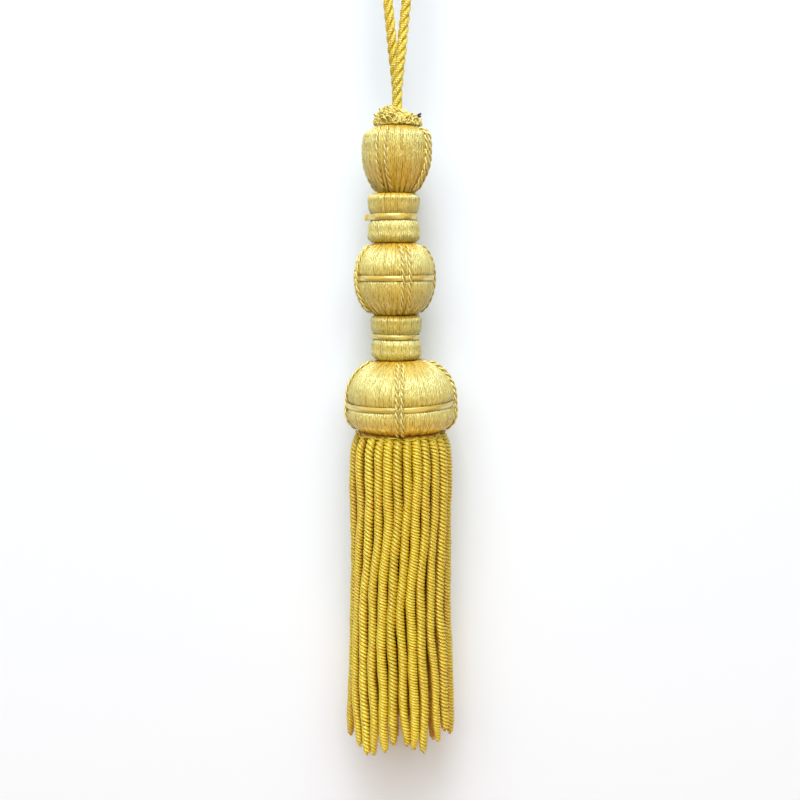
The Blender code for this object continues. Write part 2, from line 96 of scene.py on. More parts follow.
# Drawn-in floss of each turned piece: number of gathers, their depth at the top rim and how
# far down they reach, the same at the bottom rim, then bundles of thread round the piece,
# columns of the grid and rows of the grid.  Depths and reaches are in mm.
COVERS = {
    "top_ball": (26, 0.40, 1.4, 1.05, 13.0, 64, 384, 60),
    "upper_neck": (40, 0.22, 1.8, 0.22, 2.0, 50, 320, 44),
    "middle_ball": (30, 0.95, 4.6, 0.95, 5.5, 72, 420, 62),
    "lower_neck": (40, 0.22, 1.8, 0.22, 2.0, 50, 320, 42),
    "bell": (44, 0.75, 5.5, 0.70, 6.4, 100, 520, 70),
}

# Waves that make the gathers' widths uneven: times round a piece, share of a radian, and how
# often the piece's own phase counts.
GATHER_WARP = [(2, 0.10, 1), (5, 0.05, 2), (9, 0.022, 3)]
# How fast the gathers fade from a rim, as an exponent, how much their depth varies round a
# piece, and how deep the creases are between the rims, in mm.
GATHER_FADE, GATHER_VARIETY, CREASE = 1.6, 0.25, 0.05
# Heights of the two waves of bundles, in mm, and the second's share of the first's count.
BUNDLE_HEIGHTS, FEWER_BUNDLES = (0.045, 0.03), 0.625
# Waves by which the gathers, and the bundles, wander on their way down: (radians, radians of
# the wave to a mm of depth).  The fewer bundles also run on by so many radians to a mm.
GATHER_WANDER, BUNDLE_WANDER, BUNDLE_RUN = (0.015, 0.35), (1.5, 0.22), 0.3
# How far the painted shade at a rim reaches, in shares of the gathers' reaches at the top and
# the foot.
RIM_REACHES = (0.5, 0.4)
# Painted shade: share of the deep, warmer colour, which stands in for shade and for light
# bounced between the threads, to a mm of fold, at a rim and to a mm that a bundle lies low.
# Then the painted shade that dims a fold of the given depth in mm with its power, a rim with
# its power and a mm of groove.
FOLD_WARM_SHADE, RIM_WARM_SHADE, BUNDLE_WARM_SHADE = 1.2, 0.75, 1.2
FOLD_SHADE, RIM_SHADE, GROOVE_SHADE = (0.5, 0.7, 1.6), (0.3, 3), 0.5
# The floss is turned in at each end: shares of the rim's radius that its last rings have, how
# much the inner ones rise at the top and at the foot, and the rings' UV spacing, in mm.
END_RINGS, END_SWELLS, END_SPACING = (0.90, 0.86, 0.05), (0.05, -0.35), 3.0

# Ribbons: depth of the middle and height in mm, tilt in degrees, up towards +X.
RIBBONS = {
    "upper_neck": (8.3, 2.3, 0.8), "middle_ball": (12.5, 1.9, 0.5),
    "lower_neck": (7.9, 1.8, -0.6), "bell": (16.4, 2.0, 1.8),
}
# A ribbon's start and whole way round its piece, in degrees, then where it climbs on its own
# start and where it lifts off: (place, share of the way that this takes).
RIBBON_START, RIBBON_ROUND = -78.0, 372.0
RIBBON_RISES = [(0.93, 0.05), (0.962, 0.038)]
# Rings along a ribbon, columns round its section, and the powers that square the section up.
RIBBON_RINGS, RIBBON_COLUMNS, RIBBON_POWERS = 220, 20, (0.6, 0.5)
# Length of the ribbons' weave from end to end on the UV map, in mm.
RIBBON_WEAVE = 70.0
# How far each ribbon's loose end stands off, how deep the ribbons' middles lie below the
# profile, and how much they bulge, in mm.
LOOSE_ENDS = {"upper_neck": 1.5, "middle_ball": 0.4, "lower_neck": 0.4, "bell": 0.5}
RIBBON_DEPTH, RIBBON_CROWN = 0.48, 0.10
# The floss dips this much towards each ribbon, above and below it, over this far, in mm.
GROOVE_DIPS = (0.35, 0.50)
GROOVE_REACH = {"upper_neck": 2.2, "middle_ball": 3.4, "lower_neck": 2.2, "bell": 3.6}
# Under the ribbon the floss lies this deep, from a start inside the ribbon's edge and over a
# width.  Away from it the floss swells.  The ribbon has some room at its edges.  All in mm.
BED_DEPTH, BED_START, BED_WIDTH, FLOSS_SWELL, RIBBON_ROOM = 0.85, 0.3, 1.2, 0.10, 0.1
# Rows of the floss's grid on each side of a ribbon, from its edge, and where the even rows
# start again, in mm.  The ribbon's tilt fades over the last distance.
NEAR_ROWS = (0.0, 0.25, 0.5, 0.8, 1.15, 1.55, 2.0, 2.5, 3.0)
EVEN_ROWS, TILT_FADE = 3.4, 4.0

# Sewn cord pairs, four on each piece: azimuth of the first in degrees, cord diameter, spacing
# of the two cords, pitch of their twist, and the first and last depth, all in mm.
SEWN_PAIRS = {
    "top_ball": (-24.6, 1.2, 3.2, 5.2, 0.5, 23.0),
    "middle_ball": (16.7, 1.3, 2.6, 5.2, 0.5, 25.4),
    "bell": (-1.5, 1.4, 1.9, 5.2, 0.6, 26.2),
}
# Pairs on a piece, rings in a pitch, columns round a ply, and how much wider the plies are
# than plies that only touch.
PAIRS, SEWN_STEPS, SEWN_COLUMNS, SEWN_SWELL = 4, 18.75, 8, 1.12
# A cord's middle stands this share of its diameter above the floss.  At its ends it is tucked
# in this deep, over this far, in mm.
SEWN_RISE, TUCK_DEPTH, TUCK_REACH = 0.34, 1.5, 1.6
# Straight thread between the cords of the top ball's pairs: height of its middle and radius.
STRAIGHT_RISE, STRAIGHT_RADIUS = 0.2, 0.28

# Hanging cord: the route of its middle, in metres, from its left foot, which stands behind the
# other, up to where the legs part, over the hanging point and down to its right foot in front.
CORD_ROUTE = [
    (-0.0003, 0.0020, -0.0907), (-0.0003, 0.0020, -0.0840), (-0.0004, 0.0020, -0.0785),
    (-0.0008, 0.00195, -0.0737), (-0.00125, 0.0018, -0.0696), (-0.00175, 0.0014, -0.0655),
    (-0.0023, 0.0007, -0.0600), (-0.00285, 0.0002, -0.0545), (-0.0036, 0.0, -0.0470),
    (-0.0049, 0.0, -0.0360), (-0.0061, 0.0, -0.0250), (-0.0072, 0.0, -0.0145),
    (-0.00795, 0.0, -0.0080), (-0.00755, 0.0, -0.0036), (-0.0057, 0.0, -0.0005),
    (-0.0031, 0.0, 0.00125), (0.0, 0.0, 0.00185), (0.0031, 0.0, 0.00125),
    (0.0057, 0.0, -0.0005), (0.00755, 0.0, -0.0036), (0.00795, 0.0, -0.0080),
    (0.0071, 0.0, -0.0145), (0.00585, 0.0, -0.0250), (0.00445, 0.0, -0.0360),
    (0.0031, 0.0, -0.0470), (0.00225, -0.0002, -0.0545), (0.0017, -0.0007, -0.0600),
    (0.00115, -0.0014, -0.0655), (0.00065, -0.0018, -0.0696), (0.0002, -0.00195, -0.0737),
    (-0.0002, -0.0020, -0.0785), (-0.0003, -0.0020, -0.0840), (-0.0003, -0.0020, -0.0907),
]
# Points on the smooth route, and rings of the mesh in one pitch of the cord.
ROUTE_POINTS, PITCH_RINGS = 1500, 30.0
# Plies, and how much wider they are than plies that only touch.  Ridges round a ply, places of
# the grid's columns across one, their depth in radii, and a ply's own pitch in cord pitches.
CORD_PLIES, PLY_SWELL = 3, 1.07
PLY_RIDGES, PLY_PLACES, PLY_RIDGE_DEPTH, PLY_PITCH = 6, (0.0, 0.33, 0.67), 0.12, 0.9
# Painted shade: share of the deep colour between the plies, and in the valleys of their own
# ridges.
PLY_GAP_SHADE, RIDGE_VALLEY_SHADE = 0.75, 0.25
# Threads wrapped round each ply: how many lie round it, and how many to a millimetre along it.
PLY_WRAPS = (3, 1.0)

# Ruff: x of its axis, then tiers of (loops, azimuth of the first, foot radius, foot height,
# tip radius, tip height, half width at the foot in degrees, half width at the tip), in mm.
RUFF_AXIS_X = -0.4
RUFF_TIERS = [
    (8, 10.0, 4.6, 1.8, 6.6, 5.4, 10.0, 1.6),
    (10, 27.0, 5.6, 1.2, 8.6, 3.6, 8.0, 1.9),
]
# Share by which the loops, and then the curls, stand taller at the left and lower at the right.
RUFF_LEAN, CURL_LEAN = 0.30, 0.32
# Rings along a gimp loop, a curl and a loose end, and columns round each of them.
LOOP_RINGS, CURL_RINGS, TAIL_RINGS, THREAD_COLUMNS = 61, 46, 24, 5
# How much the loops differ, as a share: the whole of it in width, and less in reach and in
# height, of which each has a steady and a differing part.
LOOP_VARIETY, LOOP_REACH, LOOP_HEIGHT = 0.35, (0.92, 0.08), (0.8, 0.2)
# How far the loops stray, as a share of their spacing, and their tips slant aside, in mm.
LOOP_STRAY, LOOP_SLANT = 0.22, 1.2
# Small waves that crimp a loop: radians in its half turn's angle, and height in mm.
CRIMP_RATE, CRIMP_HEIGHT = 19.0, 0.10
# Length from one dark crimp to the next in mm, and the mean and wave of their deep colour.
CRIMP_LENGTH, CRIMP_HOLLOW = 0.9, 0.22
# Curls of the gimp over its dome: their number, inner and outer radius of the dome, its height
# inside and outside, and the curls' own radius, in mm.
RUFF_CURLS = (96, 2.9, 8.4, 5.0, 1.0, 1.25)
# From curl to curl, in radians: the azimuth, which is the golden angle, and the start.  Then
# the turns in a curl, how far its axis tilts, how much curls differ in size, how the radius
# falls along one, half its drift and its least height, in mm.
GOLDEN_ANGLE, CURL_START = 2.39996, 3.0
CURL_TURNS, CURL_TILT, CURL_VARIETY = 1.34, 0.7, 0.22
CURL_SHARES, CURL_DRIFT, CURL_FLOOR = (1.08, 0.86), 0.45, 0.35
# Loose thread ends that stick out of the ruff: azimuth, radius and height of the tip, in mm.
RUFF_ENDS = [(78.0, 8.7, 4.3), (84.0, 8.5, 3.5), (-118.0, 8.4, 3.2), (160.0, 8.0, 4.0)]
# Radius and height where they leave the band, how far they bend aside in degrees and up in mm.
END_FOOT, END_BEND, END_ARCH = (3.6, 1.4), 10.0, 0.5
# Colour of their cut ends, how much thicker those are, as a share, and a ramp along a loose
# end, which is its cut end once it passes 0 and wholly so from 1.
CUT_END, CUT_SWELL, CUT_RAMP = (0.10, 0.07, 0.05), 0.7, (-4.0, 2.0)
# Band under the loops, in mm: rows of (height above the ball, radius).
RUFF_BAND = [(0.0, 2.0), (0.0, 6.4), (1.0, 6.6), (2.0, 6.0), (3.0, 4.4), (3.4, 2.6), (3.4, 2.0)]

# Skirt, in mm: x of its axis, radius and height of its heading, and how far below the
# heading's top the strands' roots are.
SKIRT_AXIS_X = 1.0
HEADING = (15.2, 3.0)
ROOT_DEPTH = 1.0
# Rows of depth in mm and the share of the hanging radius there.
SKIRT_FLARE = [
    (0.0, 0.83), (2.0, 0.905), (5.0, 0.968), (9.5, 0.995), (30.0, 1.0), (61.0, 1.0),
    (95.0, 1.065), (123.0, 1.12),
]
# Strands round the front: azimuth at the bell, 30, 61 and 95 mm below it and at the end, then
# the length in mm.
FRONT_DEPTHS = (0.0, 30.0, 61.0, 95.0)
FRONT_STRANDS = [
    (-85, -82, -86, -86, -87, 121.0),
    (-61, -57, -67, -66, -55, 119.8),
    (-42, -40, -50, -48, -39, 121.7),
    (-28, -27, -36, -34, -28, 120.9),
    (-16, -15, -23, -21, -18, 118.8),
    (-4, -4, -11, -9, -7, 115.7),
    (8, 7, 0, 3, 4, 116.2),
    (20, 18, 12, 15, 15, 117.6),
    (32, 30, 24, 27, 28, 119.4),
    (46, 44, 38, 43, 45, 117.2),
    (62, 61, 55, 60, 61, 114.9),
    (82, 84, 80, 84, 85, 119.2),
]
# Outer row: strands in all, front and back, and hanging radius in mm.
OUTER_ROW = (27, 17.6)
# Rows inside: strands, hanging radius, length in mm, azimuth of the first.
INNER_ROWS = [(22, 13.4, 117.0, 5.0), (14, 9.1, 116.0, 9.0), (6, 4.6, 115.0, 20.0)]
# Strands round the back: length and its spread in mm, turn aside at the four depths above and
# spread of the turn at the end, in degrees.  Then the spread and turns of the rows inside.
BACK_LENGTH, BACK_SPREAD, BACK_TURN, BACK_END_TURN = 118.5, 2.6, (0.0, -0.5, -2.0, -0.8), 1.3
INNER_SPREAD, INNER_TURN, INNER_END_TURN = 2.0, (0.0, -1.0, -3.0, 0.0), 1.5
# A strand sways sideways and in and out by this much, with these wave lengths, once it hangs
# free at this depth, in mm.
SWAY_ASIDE, SWAY_OUT, FREE_DEPTH = (0.25, 31.0), (0.14, 43.0), 25.0
# Share of a strand's full width at each distance from its end, in mm.
STRAND_TIP = [(0.0, 0.56), (0.4, 0.74), (1.8, 0.84), (4.0, 0.96), (6.5, 1.0)]
# The strands stop this much short of their lengths, in mm, and their end loops fill the rest.
END_LOOPS = 1.2
# How far above its end a strand starts to bend aside, and by how much at most, in mm.
END_CURL = (16.0, 1.0)
# How the strands' pitches and widths differ: mean and spread, as shares, then the share and
# wave length in mm of the slow change of width along a strand.
PITCH_SHARES, WIDTH_SHARES, WIDTH_WAVE = (0.97, 0.16), (1.09, 0.09), (0.04, 13.0)
# Places of the grid's columns across a ridge, and how deep the valleys are in radii.
FINE_RIDGE, PLAIN_RIDGE, RIDGE_DEPTH = (0.0, 0.13, 0.36, 0.64, 0.87), (0.0, 0.3, 0.7), 0.44
# Painted shade: share of the deep colour in the valleys and on the side that faces in, each with
# its power.  Then the shade layer: the mean and spread of a random tone from strand to strand,
# and the painted shade that the side facing in adds.
VALLEY_SHADE, INWARD_SHADE, STRAND_SHADE = (0.45, 0.8), (0.8, 1.3), (0.2, 0.2, 0.15)
# Grids from the outer row inwards: name, columns across a ridge, rings in a pitch and the
# least share of the deep colour, painted shade on the rows that hang inside the skirt.
SKIRT_GRIDS = [
    ("skirt_front_strands", FINE_RIDGE, 12, 0.0), ("skirt_back_strands", FINE_RIDGE, 12, 0.0),
    ("skirt_second_strands", PLAIN_RIDGE, 9, 0.7), ("skirt_third_strands", PLAIN_RIDGE, 6, 0.7),
    ("skirt_core_strands", PLAIN_RIDGE, 6, 0.7),
]
# Thread loops at the tips: on how many of these grids, how many to a tip, their size and its
# spread in strand radii, how far out they stand in the same, the first and last angle of their
# arc in degrees, and their thread's radius in mm.
LOOPED_ROWS, TIP_LOOPS, LOOP_SIZES, LOOP_OUT = 3, 2, (0.34, 0.10), 0.14
LOOP_ARC, LOOP_THREAD = (-60.0, 240.0), 0.24
# From loop to loop the azimuth grows by this much, in radians.  A loop starts this far above
# its strand's end, in mm, and hangs by these shares of its size: its middle, and its height.
LOOP_AZIMUTH, LOOP_START, LOOP_HANG = 2.4, 0.05, (0.6, 1.1)
# Thread stitched round under the bell's rim: its radius, the radius of its way round and how
# far that wavers, the height it drops by and the height of its scallops, in mm.
RIM_THREAD, RIM_RADIUS, RIM_WAVER, RIM_DROP, RIM_SCALLOP = 0.20, 16.75, 0.25, 1.214, 0.42
# Waves of the scallops: times round the rim, share of the height and phase.  Then how often
# the way round wavers.
RIM_WAVES, RIM_WAVERS = [(11.0, 1.0, 0.0), (17.0, 0.7, 1.0), (31.0, 0.4, 0.0)], 23.0

# Camera: place in metres, focal length and sensor in mm, and how far it looks down in degrees.
CAMERA_PLACE, CAMERA_LENS, CAMERA_SENSOR, CAMERA_DIP = (0.0007, -0.371, -0.1368), 45.0, 36.0, 8.2
# Wall: half width and the heights of its foot and head in metres, colour, roughness, glow
# colour and the glow's strength.
WALL_HALF, WALL_FOOT, WALL_HEAD = 1.2, -0.8, 0.9
WALL_COLOUR, WALL_ROUGHNESS = (0.755, 0.845, 0.98), 0.9
WALL_GLOW, WALL_GLOW_STRENGTH = (0.92, 0.96, 1.0), 0.12
# Lights: the point they look at and their places in metres, the fill light's side and colour,
# and the colour of the light all round.
LIT_POINT = (0.0, 0.0, -0.18)
KEY_PLACE, SHEET_PLACE = (-0.10, -1.90, 2.60), (-0.10, -1.70, 1.50)
FILL_PLACE, FILL_SIZE, FILL_COLOUR = (0.05, -0.32, -1.75), 1.0, (1.0, 0.50, 0.10)
SKY_COLOUR = (1.0, 0.74, 0.32)


# ---- Shapes ----

def smooth_table(rows, positions):
    """Read a table's later columns at positions along its first column.

    Between two rows a value follows the cubic with the rows' own values and slopes, and a
    row's slope is that of the chord between its neighbours.
    """
    table = np.array(rows, dtype=float)
    place, values = table[:, 0], table[:, 1:]
    slopes = np.gradient(values, place, axis=0)
    at = np.clip(np.asarray(positions, dtype=float), place[0], place[-1])
    row = np.clip(np.searchsorted(place, at, side="right") - 1, 0, len(place) - 2)
    span = (place[row + 1] - place[row])[..., None]
    part = (at - place[row])[..., None] / span
    start = (1 + 2 * part) * (1 - part) ** 2 * values[row]
    start += part * (1 - part) ** 2 * span * slopes[row]
    end = part ** 2 * (3 - 2 * part) * values[row + 1]
    end += part ** 2 * (part - 1) * span * slopes[row + 1]
    return (start + end)[..., 0] if values.shape[1] == 1 else start + end


def smooth_step(value):
    """0 below 0, 1 above 1, and 3v^2 - 2v^3 between."""
    value = np.clip(value, 0.0, 1.0)
    return value * value * (3.0 - 2.0 * value)


def spread(index, salt):
    """Even but irregular values from -1 to 1: the golden ratio's multiples, less their wholes."""
    return 2.0 * np.mod(np.asarray(index) * GOLDEN_SHARE + salt * SALT_SHIFT, 1.0) - 1.0


def radial(azimuth):
    """Unit vectors outwards at azimuths counted from the front towards +X."""
    azimuth = np.asarray(azimuth, dtype=float)
    return np.stack([np.sin(azimuth), -np.cos(azimuth), np.zeros_like(azimuth)], axis=-1)


def unit(vectors):
    """Vectors scaled to length one."""
    return vectors / np.linalg.norm(vectors, axis=-1, keepdims=True)


def top_of(node):
    """Height of a node's top."""
    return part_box(node)[1][2]


def round_axis(azimuth, radius, axis_x, height):
    """Points at azimuths, radii and heights round an upright axis at axis_x, all in one unit."""
    points = radial(azimuth) * radius[..., None]
    points[..., 0] += axis_x
    points[..., 2] = height
    return points


def tube(path, facing, turn, reach):
    """Skins carried along paths.

    Each point is the path's point plus reach times (facing cos turn + side sin turn), where
    facing is squared to the path and side is facing crossed with the path's direction.  Paths
    and facings are (tubes, rings, 3), turns and reaches (tubes, rings, columns).
    """
    direction = unit(np.gradient(path, axis=1))
    facing = unit(facing - direction * np.sum(facing * direction, axis=-1, keepdims=True))
    side = np.cross(facing, direction)
    ring = facing[:, :, None] * np.cos(turn)[..., None]
    ring = ring + side[:, :, None] * np.sin(turn)[..., None]
    return path[:, :, None] + ring * reach[..., None]


def thread_skins(lines, facing, radius, columns):
    """Skins of plain round threads along lines, with one facing or one for each point."""
    turn = np.broadcast_to(TURN * np.arange(columns) / columns, (*lines.shape[:2], columns))
    return tube(lines, np.broadcast_to(facing, lines.shape), turn,
                np.broadcast_to(radius, turn.shape))


def lathe(rows, columns, base_z, axis_x, rising=False):
    """A profile of (depth, radius) rows in mm turned about its own axis, as one grid.

    With rising, the rows count upwards from the base.
    """
    depth, radius = np.array(rows).T * MM
    azimuth = TURN * (np.arange(columns) / columns + 0.5)
    height = base_z + (depth if rising else -depth)[:, None]
    return round_axis(azimuth, radius[:, None], axis_x * MM, height)[None]


def plies(path, facing, count, helix, turn):
    """Centre lines of a cord's plies and the directions from the cord's middle to them.

    Ply k stands at the helix radius, turned by the cord's turn plus k whole turns over the
    count.  Both results are (tubes times count, rings, 3).
    """
    phase = TURN * np.arange(count) / count
    angles = turn[..., None] + phase
    lines = tube(path, facing, angles, np.full(angles.shape, helix))
    away = unit(lines - path[:, :, None])
    shape = (-1, path.shape[1], 3)
    return np.moveaxis(lines, 2, 1).reshape(shape), np.moveaxis(away, 2, 1).reshape(shape)


def lobes(count, places, depth, roundness=0.96):
    """A section of equal rounded ridges, as (angles, shares of the full radius, hollows).

    Places are the columns' places across a ridge, from its valley at 0 to the next at 1.
    There the ridge is an arc: arch = sqrt(1 - roundness (2t - 1)^2), the share is
    1 - depth (1 - arch) and the third value is 1 in the valleys and 0 on the crests.
    """
    part = np.tile(places, count)
    angle = TURN * (np.repeat(np.arange(count), len(places)) + part) / count
    arch = np.sqrt(1.0 - roundness * (2.0 * part - 1.0) ** 2)
    low = math.sqrt(1.0 - roundness)
    return angle, 1.0 - depth * (1.0 - arch), (1.0 - arch) / (1.0 - low)


def facing_in(turn):
    """0 where a ply's skin faces away from the cord's middle, and 1 where it faces in."""
    return (1.0 - np.cos(turn)) / 2.0


def travelled(path):
    """Length along each path up to each of its points."""
    legs = np.linalg.norm(np.diff(path, axis=1), axis=-1)
    return np.concatenate([np.zeros((len(path), 1)), np.cumsum(legs, axis=1)], axis=1)


def even_depths(profile, start, end, samples, count):
    """Depths at even steps along a profile from start to end, and the way up to them."""
    fine = np.linspace(start, end, samples)
    arc = travelled(np.stack([fine, smooth_table(profile, fine)], axis=-1)[None])[0]
    way = np.linspace(0.0, arc[-1], count)
    return np.interp(way, arc, fine), way


# ---- Meshes ----

def add_piece(name, points, layers, around, along, material, nodes=()):
    """Make grids of points into one closed mesh piece that rides with the tassel.

    Points are (grids, rings, columns, 3): the columns close round, and a flat cap closes each
    end.  Layers are named values from 0 to 1 per point.  The UV map is in millimetres: around
    a ring (around is its width per column) and along the grid (along is a value per ring).
    """
    grids, rings, columns, _ = points.shape
    ring = np.arange(rings - 1)[:, None]
    side = np.arange(columns)[None, :]
    after = (side + 1) % columns
    quads = np.stack([ring * columns + side, (ring + 1) * columns + side,
                      (ring + 1) * columns + after, ring * columns + after], axis=-1)
    starts = np.arange(grids)[:, None, None, None] * rings * columns
    quads = (quads[None] + starts).reshape(-1)
    first = np.arange(columns)
    last = first[::-1] + (rings - 1) * columns
    caps = (np.stack([first, last])[None] + starts[:, 0]).reshape(-1)
    corners = np.concatenate([quads, caps])
    quad_starts = np.arange(0, len(quads), 4)
    cap_starts = len(quads) + np.arange(0, len(caps), columns)
    mesh = bpy.data.meshes.new(name)
    mesh.vertices.add(grids * rings * columns)
    mesh.vertices.foreach_set("co", np.ascontiguousarray(points, dtype=np.float32).ravel())
    mesh.loops.add(len(corners))
    mesh.loops.foreach_set("vertex_index", corners.astype(np.int32))
    mesh.polygons.add(len(quad_starts) + len(cap_starts))
    mesh.polygons.foreach_set("loop_start", np.concatenate([quad_starts, cap_starts]))
    mesh.update(calc_edges=True)
    u = np.stack([side, side, side + 1, side + 1], axis=-1) * around
    v = np.stack([ring, ring + 1, ring + 1, ring], axis=-1)
    height = np.broadcast_to(np.asarray(along, dtype=float), (grids, rings))
    u = np.broadcast_to(u[None], (grids, rings - 1, columns, 4))
    v = np.broadcast_to(height[:, v[:, 0]][:, :, None], (grids, rings - 1, columns, 4))
    flat = np.stack([u, v], axis=-1).reshape(-1, 2)
    flat = np.concatenate([flat, np.zeros((len(caps), 2))])
    mesh.uv_layers.new(name="threads").data.foreach_set("uv", flat.astype(np.float32).ravel())
    for label, values in layers.items():
        values = np.broadcast_to(values, points.shape[:3]).astype(np.float32).ravel()
        mesh.attributes.new(label, "FLOAT", "POINT").data.foreach_set("value", values)
    shell = bmesh.new()
    shell.from_mesh(mesh)
    bmesh.ops.recalc_face_normals(shell, faces=shell.faces)
    shell.to_mesh(mesh)
    shell.free()
    mesh.shade_smooth()
    mesh.materials.append(material)
    piece = bpy.data.objects.new(name, mesh)
    bpy.context.scene.collection.objects.link(piece)
    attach(piece, "root")
    if nodes:
        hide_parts(*nodes)
    return piece


# ---- Finishes ----

def add_node(tree, kind, at, **values):
    """Add a shader node at a place in the tree and set its properties and sockets by name."""
    node = tree.nodes.new(kind)
    node.location = at
    for label, value in values.items():
        if hasattr(node, label):
            setattr(node, label, value)
        else:
            node.inputs[label.replace("_", " ").title()].default_value = value
    return node


def feed(tree, socket, value):
    """Join an output to a socket, or set the socket to a constant number or colour."""
    if isinstance(value, bpy.types.NodeSocket):
        tree.links.new(value, socket)
    elif socket.type == "RGBA":
        socket.default_value = (*value, 1.0)
    else:
        socket.default_value = value


def add_math(tree, operation, at, *values, clamp=False):
    """A sum or wave of numbers and outputs, as an output."""
    node = add_node(tree, "ShaderNodeMath", at, operation=operation, use_clamp=clamp)
    for socket, value in zip(node.inputs, values):
        feed(tree, socket, value)
    return node.outputs[0]


def add_blend(tree, kind, at, factor, first, second):
    """A blend of two colours or colour outputs by a factor, as an output."""
    node = add_node(tree, "ShaderNodeMix", at, data_type="RGBA", blend_type=kind)
    for place, value in ((0, factor), (6, first), (7, second)):
        feed(tree, node.inputs[place], value)
    return node.outputs[2]


def add_shader_blend(tree, at, factor, first, second, target):
    """Blend two shaders by a factor into an output node's surface."""
    node = add_node(tree, "ShaderNodeMixShader", at)
    for socket, value in zip(node.inputs, (factor, first, second)):
        feed(tree, socket, value)
    feed(tree, tree.nodes[target].inputs["Surface"], node.outputs[0])


def add_noise(tree, place, scale, at):
    """Noise over the UV map, stretched to a grain of scale per millimetre, from 0 to 1."""
    stretch = add_node(tree, "ShaderNodeMapping", at, Scale=(*scale, 1.0))
    noise = add_node(tree, "ShaderNodeTexNoise", (at[0] + 200, at[1]), Scale=1.0, Detail=2.0,
                     Roughness=0.6)
    full = add_node(tree, "ShaderNodeMapRange", (at[0] + 400, at[1]))
    full.inputs["From Min"].default_value, full.inputs["From Max"].default_value = NOISE_RANGE
    feed(tree, stretch.inputs["Vector"], place.outputs["UV"])
    feed(tree, noise.inputs["Vector"], stretch.outputs["Vector"])
    feed(tree, full.inputs["Value"], noise.outputs["Fac"])
    return full.outputs["Result"]


def new_finish(name):
    """A new material, with its node tree and its shader."""
    material = bpy.data.materials.new(name)
    material.use_nodes = True
    return material, material.node_tree, material.node_tree.nodes["Principled BSDF"]


def silk(name, light, deep, roughness, streaks, specks, relief, mottle=(0.2, 0.2),
         speck_relief=0.3, density=1.5, gleam=(0.95, 1.0, 0.60), wraps=None, grain=0.0,
         satin=0.0):
    """Silk thread, light on its crests, painted shade in its hollows, streaked along its threads.

    Two noises lie over the threads: long streaks along them and short specks where single
    threads turn.  The tone is half the mottle's sum less (mottle times streak and speck), and
    the height is relief times (streak + speck_relief speck).  Wraps add threads wound round: a
    sine wave over (across u + along v), with its share of the tone and of the height.  The
    colour goes from light to deep by the painted-shade layer, which also holds the gimp's
    crimps and cut ends, plus the tone.  It is dimmed by the shade layer, painted shade with
    some tones of the thread's own, plus grain times the tone.  Density is the index of
    refraction, the lustre, gleam is the tint of the lustre, and satin stretches it across the
    threads.
    """
    material, tree, shader = new_finish(name)
    place = add_node(tree, "ShaderNodeUVMap", (-1600, 0), uv_map="threads")
    streak = add_noise(tree, place, streaks, (-1400, 100))
    speck = add_noise(tree, place, specks, (-1400, -200))
    # Painted shade: this layer mixes in the deep colour in folds, valleys, gaps and at rims,
    # where shade falls; on the gimp it also holds the crimps and the dark cut ends.
    deep_tone_and_painted_shade = add_node(tree, "ShaderNodeAttribute", (-800, 500), attribute_name="deep_tone_and_painted_shade")
    # The shade layer dims the colour: painted shade, with tones that differ from strand to strand
    # and the dark cut ends.
    shade = add_node(tree, "ShaderNodeAttribute", (-400, 600), attribute_name="shade")
    tone = add_math(tree, "MULTIPLY_ADD", (-800, 300), streak, -mottle[0], sum(mottle) / 2.0)
    tone = add_math(tree, "MULTIPLY_ADD", (-600, 300), speck, -mottle[1], tone)
    height = add_math(tree, "MULTIPLY_ADD", (-600, -100), speck, speck_relief, streak)
    if wraps:
        across, along, share, rise = wraps
        phase = add_node(tree, "ShaderNodeVectorMath", (-1400, 400), operation="DOT_PRODUCT")
        feed(tree, phase.inputs[0], place.outputs["UV"])
        feed(tree, phase.inputs[1], (TURN * across, TURN * along, 0.0))
        wave = add_math(tree, "SINE", (-1200, 400), phase.outputs["Value"])
        tone = add_math(tree, "MULTIPLY_ADD", (-600, 500), wave, -share / 2.0, tone)
        height = add_math(tree, "MULTIPLY_ADD", (-400, 0), wave, rise / 2.0, height)
    tone_and_shade_share = add_math(tree, "ADD", (-400, 400), tone, deep_tone_and_painted_shade.outputs["Fac"], clamp=True)
    dark = add_math(tree, "MULTIPLY_ADD", (-200, 600), tone, grain, shade.outputs["Fac"],
                    clamp=True)
    colour = add_blend(tree, "MIX", (-200, 400), tone_and_shade_share, light, deep)
    colour = add_blend(tree, "MULTIPLY", (0, 400), dark, colour, DIM_COLOUR)
    bump = add_node(tree, "ShaderNodeBump", (-200, -200), Strength=1.0, Distance=relief)
    feed(tree, bump.inputs["Height"], height)
    feed(tree, shader.inputs["Base Color"], colour)
    feed(tree, shader.inputs["Normal"], bump.outputs["Normal"])
    feed(tree, shader.inputs["Roughness"], roughness)
    feed(tree, shader.inputs["Anisotropic"], satin)
    feed(tree, shader.inputs["IOR"], density)
    feed(tree, shader.inputs["Specular IOR Level"], 1.0)
    feed(tree, shader.inputs["Specular Tint"], gleam)
    return material


# ---- Hanging cord ----

